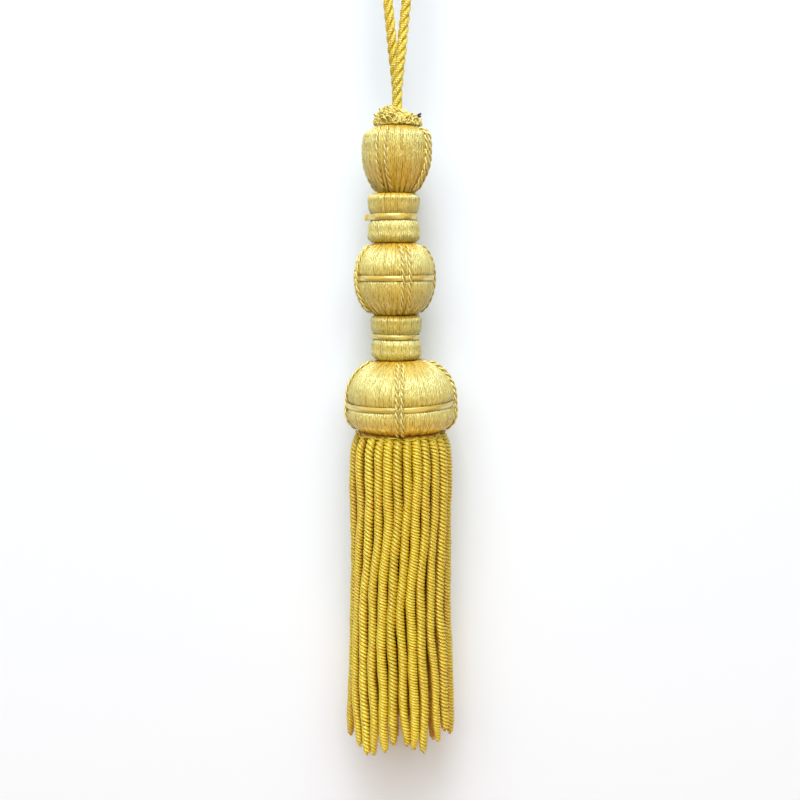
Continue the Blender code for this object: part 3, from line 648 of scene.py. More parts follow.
def smooth_route(points, count):
    """Points of the natural cubic spline through a route, at even steps of its places.

    A point's place is the straight length up to it.  The bends b balance h0 b0 +
    2 (h0 + h1) b1 + h1 b2 = 6 (slope1 - slope0) at each inner point, with none at the ends,
    where h is a span between places and slope is the chord over it.
    """
    points = np.array(points)
    place = travelled(points[None])[0]
    span = np.diff(place)
    inner = np.arange(1, len(span))
    balance = np.eye(len(points))
    balance[inner, inner - 1] = span[:-1]
    balance[inner, inner] = 2.0 * (span[:-1] + span[1:])
    balance[inner, inner + 1] = span[1:]
    change = np.zeros_like(points)
    change[1:-1] = 6.0 * np.diff(np.diff(points, axis=0) / span[:, None], axis=0)
    bend = np.linalg.solve(balance, change)
    at = np.linspace(0.0, place[-1], count)
    row = np.clip(np.searchsorted(place, at, side="right") - 1, 0, len(span) - 1)
    width = span[row][:, None]
    after = (at - place[row])[:, None]
    before = width - after
    curve = (bend[row] * before ** 3 + bend[row + 1] * after ** 3) / (6.0 * width)
    curve += (points[row] / width - bend[row] * width / 6.0) * before
    curve += (points[row + 1] / width - bend[row + 1] * width / 6.0) * after
    return curve


def even_route(route, step):
    """The route's points at an even step along it."""
    along = travelled(route[None])[0]
    places = np.linspace(0.0, along[-1], int(round(along[-1] / step)) + 1)
    return np.stack([np.interp(places, along, route[:, axis]) for axis in range(3)], axis=1)


class CordSettings(bpy.types.PropertyGroup):
    """Sizes and colours of the hanging cord"""

    diameter: FloatProperty(
        name="Diameter", description="Diameter over the cord's three plies", default=3.7 * MM,
        unit="LENGTH")
    pitch: FloatProperty(
        name="Pitch", description="Length in which a ply goes once round", default=11.2 * MM,
        unit="LENGTH")
    colour: FloatVectorProperty(
        name="Colour", description="Silk on the crests of the cord", subtype="COLOR",
        default=(0.98, 0.79, 0.08), min=0.0, max=1.0)
    # Colour of the painted shade between the plies.
    deep: FloatVectorProperty(
        name="Deep colour", description="Silk between the plies", subtype="COLOR",
        default=(0.66, 0.34, 0.004), min=0.0, max=1.0)


class TASSEL_OT_hanging_cord(bpy.types.Operator):
    """Lay the three-ply hanging cord along its loop"""

    bl_idname = "tassel.hanging_cord"
    bl_label = "Hanging cord"

    def execute(self, context):
        settings = context.scene.tassel_cord
        route = even_route(smooth_route(CORD_ROUTE, ROUTE_POINTS), settings.pitch / PITCH_RINGS)
        along = travelled(route[None])
        facing = np.broadcast_to(FRONT, route.shape)[None]
        # Three plies that touch: the cord's radius is (1 + 2 / sqrt 3) times a ply's.
        ply = settings.diameter / 2.0 / (1.0 + 2.0 / math.sqrt(3.0))
        lines, away = plies(route[None], facing, CORD_PLIES, settings.diameter / 2.0 - ply,
                            -TURN * along / settings.pitch)
        angle, share, low = lobes(PLY_RIDGES, PLY_PLACES, PLY_RIDGE_DEPTH)
        columns = len(angle)
        turn = angle - TURN * along[..., None] / (PLY_PITCH * settings.pitch)
        turn = np.broadcast_to(turn, (CORD_PLIES, len(route), columns))
        reach = np.broadcast_to(share * ply * PLY_SWELL, turn.shape)
        points = tube(lines, away, turn, reach)
        # Painted shade between the plies and in the valleys of their ridges.
        deep_tone_and_painted_shade = PLY_GAP_SHADE * facing_in(turn) ** 2 + RIDGE_VALLEY_SHADE * low
        round_ply = TURN * ply / MM
        finish = silk("cord_silk", settings.colour, settings.deep, roughness=0.32,
                      streaks=(2.5, 1.2), specks=(3.0, 3.0), relief=0.12 * MM,
                      mottle=(0.25, 0.5), density=1.9, gleam=(0.95, 1.0, 0.50),
                      wraps=(PLY_WRAPS[0] / round_ply, PLY_WRAPS[1], 0.8, 1.3))
        piece = add_piece("twisted_hanging_cord", points, {"deep_tone_and_painted_shade": deep_tone_and_painted_shade, "shade": 0.0},
                          round_ply / columns, along[0] / MM, finish,
                          ["hanging_cord"])
        return {"FINISHED"}


# ---- Ruff ----

class RuffSettings(bpy.types.PropertyGroup):
    """Sizes and colours of the looped gimp"""

    thread: FloatProperty(
        name="Thread", description="Diameter of the gimp thread", default=0.46 * MM,
        unit="LENGTH")
    colour: FloatVectorProperty(
        name="Colour", description="Gimp where it catches the light", subtype="COLOR",
        default=(0.97, 0.85, 0.28), min=0.0, max=1.0)
    # Colour of the crimps, and of the painted shade on the band under the loops.
    deep: FloatVectorProperty(
        name="Deep colour", description="Gimp in its crimps", subtype="COLOR",
        default=(0.78, 0.47, 0.03), min=0.0, max=1.0)


def ruff_foot():
    """Height of the ruff's foot on the top ball, in metres."""
    return top_of("top_ball") + GAP


def ruff_lines():
    """Centre lines of all the gimp loops, in metres, as (loops, rings, 3).

    Along a loop runs half a turn: height and reach follow its sine and the width its cosine.
    Each loop differs in reach, width, height and slant, and a fast small wave crimps it.
    """
    half_turn = math.pi * np.linspace(0.0, 1.0, LOOP_RINGS)
    rise = np.sin(half_turn)[None, :]
    lines = []
    for tier, row in enumerate(RUFF_TIERS):
        count, first, foot, foot_z, tip, tip_z, foot_angle, tip_half = row
        index = np.arange(count)
        far, wide, tall = (1.0 + LOOP_VARIETY * spread(index, tier + salt)[:, None]
                           for salt in (1, 5, 9))
        stray = LOOP_STRAY * spread(index, tier + 3)
        azimuth = math.radians(first) + TURN * (index + stray) / count
        radius = foot + (tip * (LOOP_REACH[0] + LOOP_REACH[1] * far) - foot) * rise
        foot_half = foot * math.radians(foot_angle)
        across = (foot_half + (tip_half * wide - foot_half) * rise) * np.cos(half_turn)
        across = across + LOOP_SLANT * spread(index, tier + 7)[:, None] * rise
        high = tip_z * (LOOP_HEIGHT[0] + LOOP_HEIGHT[1] * tall)
        high = high * (1.0 - RUFF_LEAN * np.sin(azimuth))[:, None]
        height = foot_z + (high - foot_z) * rise
        crimp = CRIMP_RATE * half_turn + index[:, None]
        across = across + CRIMP_HEIGHT * np.sin(crimp)
        radius = radius + CRIMP_HEIGHT * np.cos(crimp)
        lines.append(round_axis(azimuth[:, None] + across / radius, radius * MM,
                                RUFF_AXIS_X * MM, ruff_foot() + height * MM))
    return np.concatenate(lines)


def curl_lines():
    """Centre lines of the small curls that fill the ruff, in metres, as (curls, rings, 3).

    Curl k stands on the dome at the golden angle times k.  It is a shrinking coil of a turn and
    a third: middle + own radius times (first cos t + second sin t) + drift along its axis,
    where first and second are two square directions that differ from curl to curl.
    """
    count, inside, outside, high, low, own = RUFF_CURLS
    index = np.arange(count)
    share = np.sqrt((index + 0.5) / count)
    azimuth = GOLDEN_ANGLE * index
    radius = inside + (outside - inside) * share
    height = low + (high - low) * (1.0 - share ** 2) * (1.0 - CURL_LEAN * np.sin(azimuth))
    middle = round_axis(azimuth, radius, RUFF_AXIS_X, height)
    first = unit(np.stack([spread(index, salt) + 0.05 for salt in (1, 2, 4)], axis=1))
    axis = np.stack([spread(index, salt) for salt in (3, 6, 8)], axis=1)
    axis = radial(azimuth) + CURL_TILT * axis
    second = unit(np.cross(axis, first))
    first = unit(np.cross(second, axis))
    axis = unit(axis)
    turn = np.linspace(0.0, CURL_TURNS * TURN, CURL_RINGS)[None] + CURL_START * index[:, None]
    size = own * (1.0 + CURL_VARIETY * spread(index, 5))[:, None]
    size = size * np.linspace(*CURL_SHARES, CURL_RINGS)[None]
    drift = np.linspace(-CURL_DRIFT, CURL_DRIFT, CURL_RINGS)[None, :, None]
    line = middle[:, None] + first[:, None] * (size * np.cos(turn))[..., None]
    line = line + second[:, None] * (size * np.sin(turn))[..., None]
    line = line + axis[:, None] * drift
    line[..., 2] = np.maximum(line[..., 2], CURL_FLOOR)
    line[..., 2] += ruff_foot() / MM
    return line * MM


def end_lines():
    """Centre lines of the loose thread ends, in metres: slight arcs from the band to the tips."""
    azimuth, reach, high = np.array(RUFF_ENDS).T[:, :, None]
    foot, foot_z = END_FOOT
    share = np.linspace(0.0, 1.0, TAIL_RINGS)[None]
    bend = np.sin(math.pi * share)
    line = round_axis(np.radians(azimuth + END_BEND * bend), foot + (reach - foot) * share,
                      RUFF_AXIS_X, foot_z + (high - foot_z) * share + END_ARCH * bend)
    line[..., 2] += ruff_foot() / MM
    return line * MM


class TASSEL_OT_ruff(bpy.types.Operator):
    """Loop the gimp of the ruff round the foot of the cord"""

    bl_idname = "tassel.ruff"
    bl_label = "Ruff of looped gimp"

    def execute(self, context):
        settings = context.scene.tassel_ruff
        centre = np.array([RUFF_AXIS_X * MM, 0.0, top_of("top_ball")])
        finish = silk("gimp_silk", settings.colour, settings.deep, roughness=0.30,
                      streaks=(2.0, 0.6), specks=(2.5, 2.5), relief=0.08 * MM,
                      mottle=(0.2, 0.5), density=1.8, gleam=(0.9, 1.0, 0.50))
        ends = silk("gimp_end_silk", settings.colour, CUT_END, roughness=0.5,
                    streaks=(2.0, 0.6), specks=(2.5, 2.5), relief=0.05 * MM)
        pieces = (("looped_gimp", ruff_lines(), 0.0, finish, ["ruff"]),
                  ("gimp_curls", curl_lines(), 0.0, finish, []),
                  ("gimp_thread_ends", end_lines(), 1.0, ends, []))
        for name, lines, cut, thread_finish, nodes in pieces:
            tip = cut * smooth_step(np.linspace(*CUT_RAMP, lines.shape[1]))
            radius = settings.thread / 2.0 * (1.0 + CUT_SWELL * tip[:, None])
            points = thread_skins(lines, lines - centre, radius, THREAD_COLUMNS)
            along = travelled(lines)
            crimp = CRIMP_HOLLOW * np.cos(TURN * along / (CRIMP_LENGTH * MM))
            deep_tone_and_painted_shade = CRIMP_HOLLOW + crimp + tip
            shade = np.broadcast_to(tip[:, None], (*along.shape, 1))
            add_piece(name, points, {"deep_tone_and_painted_shade": deep_tone_and_painted_shade[..., None], "shade": shade},
                      TURN * settings.thread / 2.0 / MM / THREAD_COLUMNS, along / MM,
                      thread_finish, nodes)
        band = lathe(RUFF_BAND, columns=72, base_z=ruff_foot(), axis_x=RUFF_AXIS_X,
                     rising=True)
        # Painted shade on the band, which lies under the loops.
        add_piece("ruff_band", band, {"deep_tone_and_painted_shade": 0.6, "shade": 0.3}, around=0.5,
                  along=np.arange(len(RUFF_BAND)), material=finish)
        return {"FINISHED"}


# ---- Covered balls, necks and bell ----

def pleats(azimuth, count, phase):
    """Arch of each gather round a piece: 0 in its creases and 1 on its crest.

    The gathers' widths vary: the azimuth is warped by three slow waves before it is split
    into equal parts, and in each part the arch is 1 - (2t - 1)^2.
    """
    warp = 0.0
    for times, share, phases in GATHER_WARP:
        warp = warp + share * np.sin(times * azimuth + phases * phase)
    part = np.mod(count * (azimuth + warp) / TURN, 1.0)
    return 1.0 - (2.0 * part - 1.0) ** 2


def cover_rows(name):
    """Depths of a cover's rows and, for each of them, the groove's depth and the tilt's share.

    Rows go in even steps along the profile, and closer on both sides of a ribbon.  Under the
    ribbon the groove is the bed's depth, and outside it eases off from the dip to a slight
    swell.  The tilt's share falls off as exp(-(distance / fade)^2).
    """
    profile = HEAD[name]["profile"]
    depth, _ = even_depths(profile, 0.0, profile[-1][0], 400, COVERS[name][-1])
    if name not in RIBBONS:
        return depth, np.zeros_like(depth), np.zeros_like(depth)
    middle, width, _ = RIBBONS[name]
    edge = width / 2.0 + RIBBON_ROOM
    steps = np.array(NEAR_ROWS)
    near = np.concatenate([middle - edge - steps, middle + edge + steps, [middle]])
    far = depth[np.abs(depth - middle) > edge + EVEN_ROWS]
    depth = np.sort(np.concatenate([far, near]))
    away = np.abs(depth - middle)
    dip = np.where(depth < middle, *GROOVE_DIPS)
    bed = (BED_DEPTH - dip) * (1.0 - smooth_step((away - edge + BED_START) / BED_WIDTH))
    side = dip * (1.0 - smooth_step((away - edge) / GROOVE_REACH[name]))
    return depth, bed + side - FLOSS_SWELL, np.exp(-(away / TILT_FADE) ** 2)


def cover_grid(name):
    """Grid of a floss-covered piece, with its layers, as (points, layers, around, along).

    Radius = profile - gathers - ribbon groove + bundles.  The gathers deepen towards the two
    rims as (1 - distance / reach)^1.6, and the bundles are two waves round the piece whose
    phases drift with the depth.  At each end the floss turns in to a small ring.  Shade is
    painted into its colour: deeper and warmer in the gathers, at the rims and between bundles,
    and dimmed in the gathers, at the rims and in the groove.
    """
    count, top, top_reach, low, low_reach, bundles, columns, _ = COVERS[name]
    profile, axis_x = HEAD[name]["profile"], HEAD[name]["axis_x"] * MM
    height = profile[-1][0]
    depth, groove, tilt = cover_rows(name)
    azimuth = TURN * (np.arange(columns) / columns + 0.5)
    middle, _, angle = RIBBONS.get(name, (0.0, 0.0, 0.0))
    sideways = smooth_table(profile, middle) * math.tan(math.radians(angle))
    real = depth[:, None] - tilt[:, None] * sideways * np.sin(azimuth)[None]
    real = np.clip(real, 0.0, height)
    wander, rate = GATHER_WANDER
    arch = pleats(azimuth[None] + wander * np.sin(rate * real), count, len(name))
    drawn = top * np.clip(1.0 - real / top_reach, 0.0, 1.0) ** GATHER_FADE
    drawn = drawn + low * np.clip(1.0 - (height - real) / low_reach, 0.0, 1.0) ** GATHER_FADE
    drawn = drawn * (1.0 + GATHER_VARIETY * np.sin(4.0 * azimuth + count)[None])
    fold = (drawn + CREASE) * (1.0 - arch)
    strong, weak = BUNDLE_HEIGHTS
    wander, rate = BUNDLE_WANDER
    bundle = strong * np.cos(bundles * azimuth[None] + wander * np.sin(rate * real + 1.0))
    fewer = int(bundles * FEWER_BUNDLES)
    bundle = bundle + weak * np.cos(fewer * azimuth[None] + BUNDLE_RUN * real)
    radius = smooth_table(profile, real) - fold - groove[:, None] + bundle
    # Painted shade: the floss is deeper and dimmer near the rims, in the gathers, in the groove
    # and between bundles, and lighter on the bundles.
    rim = np.exp(-real / (RIM_REACHES[0] * top_reach))
    rim = rim + np.exp(-(height - real) / (RIM_REACHES[1] * low_reach))
    deep_tone_and_painted_shade = FOLD_WARM_SHADE * fold + RIM_WARM_SHADE * rim - BUNDLE_WARM_SHADE * bundle
    full, deep_fold, power = FOLD_SHADE
    shade = full * (fold / deep_fold) ** power + RIM_SHADE[0] * rim ** RIM_SHADE[1]
    shade = shade + GROOVE_SHADE * groove[:, None]
    points = round_axis(azimuth[None], radius * MM, axis_x, top_of(name) - real * MM)
    shares = np.array(END_RINGS)[:, None, None]
    ends = []
    for row, swell in zip((0, -1), END_SWELLS):
        centre = np.array([axis_x, 0.0, points[row, 0, 2]])
        ends.append(centre + (points[row] - centre)[None] * shares)
        ends[-1][1:, :, 2] += swell * MM
    points = np.concatenate([ends[0][::-1], points, ends[1]])
    deep_tone_and_painted_shade, shade = (np.clip(np.concatenate([[layer[0]] * 3, layer, [layer[-1]] * 3]), 0.0, 1.0)
                     for layer in (deep_tone_and_painted_shade, shade))
    beyond = END_SPACING * np.arange(1, 4)
    along = np.concatenate([-beyond[::-1], depth, height + beyond])
    around = TURN * max(radius for _, radius in profile) / columns
    return points[None], {"deep_tone_and_painted_shade": deep_tone_and_painted_shade[None], "shade": shade[None]}, around, along


class CoverSettings(bpy.types.PropertyGroup):
    """Colours of the floss wound over the turned pieces"""

    colour: FloatVectorProperty(
        name="Colour", description="Floss on the crests", subtype="COLOR",
        default=(0.92, 0.73, 0.18), min=0.0, max=1.0)
    # Colour of the painted shade in the gathers, at the rims and between bundles.
    deep: FloatVectorProperty(
        name="Deep colour", description="Floss in the gathers", subtype="COLOR",
        default=(0.98, 0.54, 0.02), min=0.0, max=1.0)


class TASSEL_OT_covers(bpy.types.Operator):
    """Wind floss over the balls, the necks and the bell"""

    bl_idname = "tassel.covers"
    bl_label = "Floss-covered balls, necks and bell"

    def execute(self, context):
        settings = context.scene.tassel_covers
        finish = silk("floss", settings.colour, settings.deep, roughness=0.20,
                      streaks=(1.8, 0.12), specks=(2.6, 0.60), relief=0.13 * MM,
                      mottle=(0.4, 0.6), speck_relief=0.9, density=2.0, gleam=(0.6, 1.0, 0.70),
                      wraps=(1.3, 0.0, 0.55, 1.3), grain=1.5, satin=0.6)
        for name in COVERS:
            points, layers, around, along = cover_grid(name)
            add_piece(name + "_floss", points, layers, around, along, finish,
                      [name])
        return {"FINISHED"}


# ---- Ribbons ----

class RibbonSettings(bpy.types.PropertyGroup):
    """Sizes and colours of the ribbons"""

    thickness: FloatProperty(
        name="Thickness", description="Thickness of the ribbon", default=0.35 * MM,
        unit="LENGTH")
    colour: FloatVectorProperty(
        name="Colour", description="Ribbon where it faces out", subtype="COLOR",
        default=(0.86, 0.66, 0.16), min=0.0, max=1.0)
    # Colour of the painted shade at the ribbon's edges, where it lies in the groove.
    deep: FloatVectorProperty(
        name="Deep colour", description="Ribbon at its edges", subtype="COLOR",
        default=(0.42, 0.26, 0.04), min=0.0, max=1.0)


def ribbon_grid(name, thickness):
    """Grid of a wound ribbon, as (points, painted shade at its edges, share of its way per ring).

    Its section is a flat oval: across is half its width times sin a to a power, and out half
    its thickness times cos a to another, with a slight crown.  From its start at the left it
    runs a little more than a whole turn, climbs on its own start, and its loose end lifts off.
    """
    middle, width, angle = RIBBONS[name]
    radius = smooth_table(HEAD[name]["profile"], middle) * MM
    share = np.linspace(0.0, 1.0, RIBBON_RINGS)
    azimuth = math.radians(RIBBON_START) - share * math.radians(RIBBON_ROUND)
    climb, lift = (smooth_step((share - first) / part) for first, part in RIBBON_RISES)
    stand = thickness * climb + LOOSE_ENDS[name] * MM * lift ** 2
    height = -middle * MM + radius * math.tan(math.radians(angle)) * np.sin(azimuth)
    path = round_axis(azimuth, radius - RIBBON_DEPTH * MM + stand, HEAD[name]["axis_x"] * MM,
                      top_of(name) + height)
    section = TURN * np.arange(RIBBON_COLUMNS) / RIBBON_COLUMNS
    across, out = (np.sign(wave) * np.abs(wave) ** power for wave, power in zip(
        (np.sin(section), np.cos(section)), RIBBON_POWERS))
    points = path[:, None] + radial(azimuth)[:, None] * (
        out * thickness / 2.0 + RIBBON_CROWN * MM * (1.0 - across ** 2))[None, :, None]
    points = points + np.array(UP) * (across * width / 2.0 * MM)[None, :, None]
    # Painted shade: the ribbon darkens towards its edges, where it lies in the groove.
    deep_tone_and_painted_shade = np.abs(across) ** 6
    return points[None], np.broadcast_to(deep_tone_and_painted_shade, (1, RIBBON_RINGS, RIBBON_COLUMNS)), share


class TASSEL_OT_ribbons(bpy.types.Operator):
    """Wind a flat ribbon into the groove of each piece that has one"""

    bl_idname = "tassel.ribbons"
    bl_label = "Ribbons"

    def execute(self, context):
        settings = context.scene.tassel_ribbons
        finish = silk("ribbon_silk", settings.colour, settings.deep, roughness=0.26,
                      streaks=(2.0, 0.15), specks=(0.3, 0.13), relief=0.02 * MM,
                      mottle=(0.2, 1.2), density=1.9, gleam=(0.85, 1.0, 0.65))
        for name in RIBBONS:
            points, deep_tone_and_painted_shade, share = ribbon_grid(name, settings.thickness)
            add_piece(name + "_flat_ribbon", points, {"deep_tone_and_painted_shade": deep_tone_and_painted_shade, "shade": 0.0},
                      around=0.3, along=share * RIBBON_WEAVE, material=finish,
                      nodes=[name + "_ribbon"])
        return {"FINISHED"}


# ---- Sewn cords ----

class SewnCordSettings(bpy.types.PropertyGroup):
    """Colours of the fine cords sewn down over the balls and the bell"""

    colour: FloatVectorProperty(
        name="Colour", description="Silk on the crests of the cords", subtype="COLOR",
        default=(0.93, 0.76, 0.24), min=0.0, max=1.0)
    # Colour of the painted shade between the plies.
    deep: FloatVectorProperty(
        name="Deep colour", description="Silk between their plies", subtype="COLOR",
        default=(0.46, 0.23, 0.01), min=0.0, max=1.0)


def sewn_lines(name, offset, rise, rings):
    """Lines down a piece at its pairs' azimuths, as (pairs, rings, 3), with their facings.

    A line follows the profile a rise above it, at a sideways offset from the pair's middle,
    and is tucked in at both ends.  All are in mm but for the lines, in metres.
    """
    first, _, _, _, start, end = SEWN_PAIRS[name]
    profile = HEAD[name]["profile"]
    depth, way = even_depths(profile, start, end, 200, rings)
    radius = smooth_table(profile, depth)
    slope = np.gradient(radius, depth)
    lean = 1.0 / np.hypot(1.0, slope)
    azimuth = np.radians(first + 360.0 / PAIRS * np.arange(PAIRS))
    across = radial(azimuth + TURN / 4.0)[:, None]
    outward = radial(azimuth)[:, None] * lean[None, :, None]
    outward = outward + np.outer(slope * lean, UP)[None]
    sag = radius - np.sqrt(radius ** 2 - offset ** 2)
    tuck = TUCK_DEPTH * (1.0 - smooth_step(np.minimum(way, way[-1] - way) / TUCK_REACH))
    line = round_axis(azimuth[:, None], (radius * MM)[None], HEAD[name]["axis_x"] * MM, 0.0)
    line = line + across * offset * MM + outward * ((rise - sag - tuck) * MM)[None, :, None]
    line[..., 2] += top_of(name) - depth * MM
    return line, outward


class TASSEL_OT_sewn_cords(bpy.types.Operator):
    """Sew pairs of fine two-ply cords down the balls and the bell"""

    bl_idname = "tassel.sewn_cords"
    bl_label = "Sewn-down cords"

    def execute(self, context):
        settings = context.scene.tassel_sewn_cords
        finish = silk("sewn_silk", settings.colour, settings.deep, roughness=0.28,
                      streaks=(2.5, 1.0), specks=(2.5, 2.5), relief=0.08 * MM,
                      mottle=(0.3, 0.4), density=2.1, gleam=(0.80, 1.0, 0.65))
        for name, (_, diameter, spacing, pitch, start, end) in SEWN_PAIRS.items():
            rings = int(SEWN_STEPS * (end - start) / pitch)
            sides = [sewn_lines(name, offset, SEWN_RISE * diameter, rings)
                     for offset in (-spacing / 2.0, spacing / 2.0)]
            path, facing = (np.concatenate(parts) for parts in zip(*sides))
            twist = TURN * travelled(path) / (pitch * MM)
            ply = diameter * MM / 4.0
            lines, away = plies(path, facing, 2, ply, twist)
            points = thread_skins(lines, away, SEWN_SWELL * ply, SEWN_COLUMNS)
            # Painted shade on the side of each ply that faces the other.
            deep_tone_and_painted_shade = facing_in(TURN * np.arange(SEWN_COLUMNS) / SEWN_COLUMNS) ** 1.1
            nodes = ["%s_cords_%d" % (name, number) for number in range(1, PAIRS + 1)]
            add_piece(name + "_sewn_cords", points, {"deep_tone_and_painted_shade": deep_tone_and_painted_shade, "shade": 0.0},
                      around=0.3, along=travelled(lines) / MM, material=finish,
                      nodes=nodes)
            if name == "top_ball":
                line, outward = sewn_lines(name, 0.0, STRAIGHT_RISE, rings)
                points = thread_skins(line, outward, STRAIGHT_RADIUS * MM, SEWN_COLUMNS)
                add_piece("top_ball_straight_thread", points, {"deep_tone_and_painted_shade": 0.2, "shade": 0.0},
                          around=0.2, along=travelled(line) / MM, material=finish)
        return {"FINISHED"}


# ---- Skirt ----

class SkirtSettings(bpy.types.PropertyGroup):
    """Sizes and colours of the bullion skirt"""

    strand: FloatProperty(
        name="Strand", description="Diameter of a bullion strand", default=3.3 * MM,
        unit="LENGTH")
    pitch: FloatProperty(
        name="Pitch", description="Length in which a ridge goes once round a strand",
        default=3.9 * MM, unit="LENGTH")
    ridges: IntProperty(
        name="Ridges", description="Ridges round a strand", default=3, min=2, max=8)
    colour: FloatVectorProperty(
        name="Colour", description="Silk on the strands' ridges", subtype="COLOR",
        default=(0.82, 0.70, 0.045), min=0.0, max=1.0)
    # Colour of the painted shade in the valleys, on the inward sides and on the inner rows.
    deep: FloatVectorProperty(
        name="Deep colour", description="Silk between the ridges", subtype="COLOR",
        default=(0.60, 0.215, 0.001), min=0.0, max=1.0)


def outer_rows():
    """Azimuth tables and lengths of the outer strands: the front ones, then the back ones."""
    rows = [(list(zip(FRONT_DEPTHS + (row[5],), row[:5])), row[5]) for row in FRONT_STRANDS]
    back = OUTER_ROW[0] - len(FRONT_STRANDS)
    first, last = FRONT_STRANDS[0], FRONT_STRANDS[-1]
    for index in range(back):
        share = (index + 1) / (back + 1)
        turns = BACK_TURN + (BACK_END_TURN * float(spread(index, 1)),)
        sway = math.sin(math.pi * share)
        edges = zip(last[:5], first[:5], turns)
        azimuths = [low + (high + 360.0 - low) * share + turn * sway for low, high, turn in edges]
        length = BACK_LENGTH + BACK_SPREAD * float(spread(index, 2))
        rows.append((list(zip(FRONT_DEPTHS + (length,), azimuths)), length))
    return rows


def inner_rows(row):
    """Azimuth tables and lengths of one inner row of strands."""
    count, _, length, first = row
    rows = []
    for index in range(count):
        reach = length + INNER_SPREAD * float(spread(index, 3))
        turns = INNER_TURN + (INNER_END_TURN * float(spread(index, 4)),)
        azimuths = [first + 360.0 * index / count + turn for turn in turns]
        rows.append((list(zip(FRONT_DEPTHS + (reach,), azimuths)), reach))
    return rows


def strand_grid(strands, hang_radius, settings, places, steps, salt):
    """Grids of bullion strands, as (points, painted shade, shade and tone, length along).

    A strand's middle hangs at its azimuth and at the hanging radius times the flare, with a
    slow small sway, and its end curls aside.  Its section has rounded ridges and turns once in
    a pitch.  Its width waves a little and narrows over the last few millimetres.  Shade is
    painted into its colour in its valleys and on the side that faces the skirt's middle.
    """
    index = np.arange(len(strands))
    lengths = np.array([length for _, length in strands]) - END_LOOPS
    mean, change = PITCH_SHARES
    pitch = settings.pitch / MM * (mean + change * spread(index, salt + 1))
    rings = int(steps * lengths.max() / (settings.pitch / MM))
    depth = lengths[:, None] * np.linspace(0.0, 1.0, rings)[None]
    below = lengths[:, None] - depth
    azimuth = np.stack([smooth_table(rows, at) for (rows, _), at in zip(strands, depth)])
    azimuth = np.radians(azimuth)
    radius = hang_radius * smooth_table(SKIRT_FLARE, depth)
    phase = TURN * spread(index, salt + 2)[:, None]
    hang = smooth_step(depth / FREE_DEPTH)
    (aside, aside_wave), (out, out_wave) = SWAY_ASIDE, SWAY_OUT
    azimuth = azimuth + aside * hang * np.sin(TURN * depth / aside_wave + phase) / radius
    curl = smooth_step(1.0 - below / END_CURL[0])
    azimuth = azimuth + END_CURL[1] * spread(index, salt + 5)[:, None] * curl ** 2 / radius
    radius = radius + out * hang * np.cos(TURN * depth / out_wave + 2.0 * phase)
    path = round_axis(azimuth, radius * MM, SKIRT_AXIS_X * MM,
                      top_of("skirt") - (ROOT_DEPTH + depth) * MM)
    angle, share, low = lobes(settings.ridges, places, RIDGE_DEPTH)
    turn = (TURN * depth / pitch[:, None])[..., None] + phase[..., None] + angle
    mean, change = WIDTH_SHARES
    wave, wave_length = WIDTH_WAVE
    wide = settings.strand / 2.0 * np.interp(below, *zip(*STRAND_TIP))
    wide = wide * (mean + change * spread(index, salt + 3)[:, None])
    wide = wide * (1.0 + wave * np.sin(TURN * depth / wave_length + 3.0 * phase))
    points = tube(path, radial(azimuth), turn, wide[..., None] * share)
    inward = facing_in(turn)
    # Painted shade in the valleys and on the side that faces the skirt's middle; the shade layer
    # adds a random tone per strand and more painted shade on that side.
    (valley, valley_power), (side, side_power) = VALLEY_SHADE, INWARD_SHADE
    deep_tone_and_painted_shade = np.clip(valley * low ** valley_power + side * inward ** side_power, 0.0, 1.0)
    mean, change, added = STRAND_SHADE
    shade = mean + change * spread(index, salt + 4)[:, None, None] + added * inward ** 2
    return points, deep_tone_and_painted_shade, shade, depth


def tip_loops(tips, reach):
    """Small thread loops where the strands' ends are doubled back, as (loops, rings, 3).

    A loop is an arc of 300 degrees below its tip, turned at its own azimuth.
    """
    index = np.arange(TIP_LOOPS * len(tips))
    middle = np.repeat(tips, TIP_LOOPS, axis=0)
    arc = np.linspace(*np.radians(LOOP_ARC), 11)[None]
    mean, change = LOOP_SIZES
    size = reach * (mean + change * spread(index, 3))[:, None]
    across = size * np.cos(arc) + LOOP_OUT * reach
    line = middle[:, None] + radial(LOOP_AZIMUTH * index)[:, None] * across[..., None]
    line[..., 2] += LOOP_START * MM - size * (LOOP_HANG[0] + LOOP_HANG[1] * np.sin(arc))
    return line


def rim_thread():
    """The thread that is loosely stitched round under the bell's rim, as (1, rings, 3).

    It hangs in uneven scallops: its drop is a sum of three waves round the rim.
    """
    azimuth = np.linspace(0.0, TURN, 361)
    wave = sum(share * np.sin(times * azimuth + phase) for times, share, phase in RIM_WAVES)
    drop = RIM_DROP + RIM_SCALLOP * wave
    radius = RIM_RADIUS + RIM_WAVER * np.cos(RIM_WAVERS * azimuth)
    return round_axis(azimuth, radius * MM, SKIRT_AXIS_X * MM,
                      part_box("bell")[0][2] - drop * MM)[None]


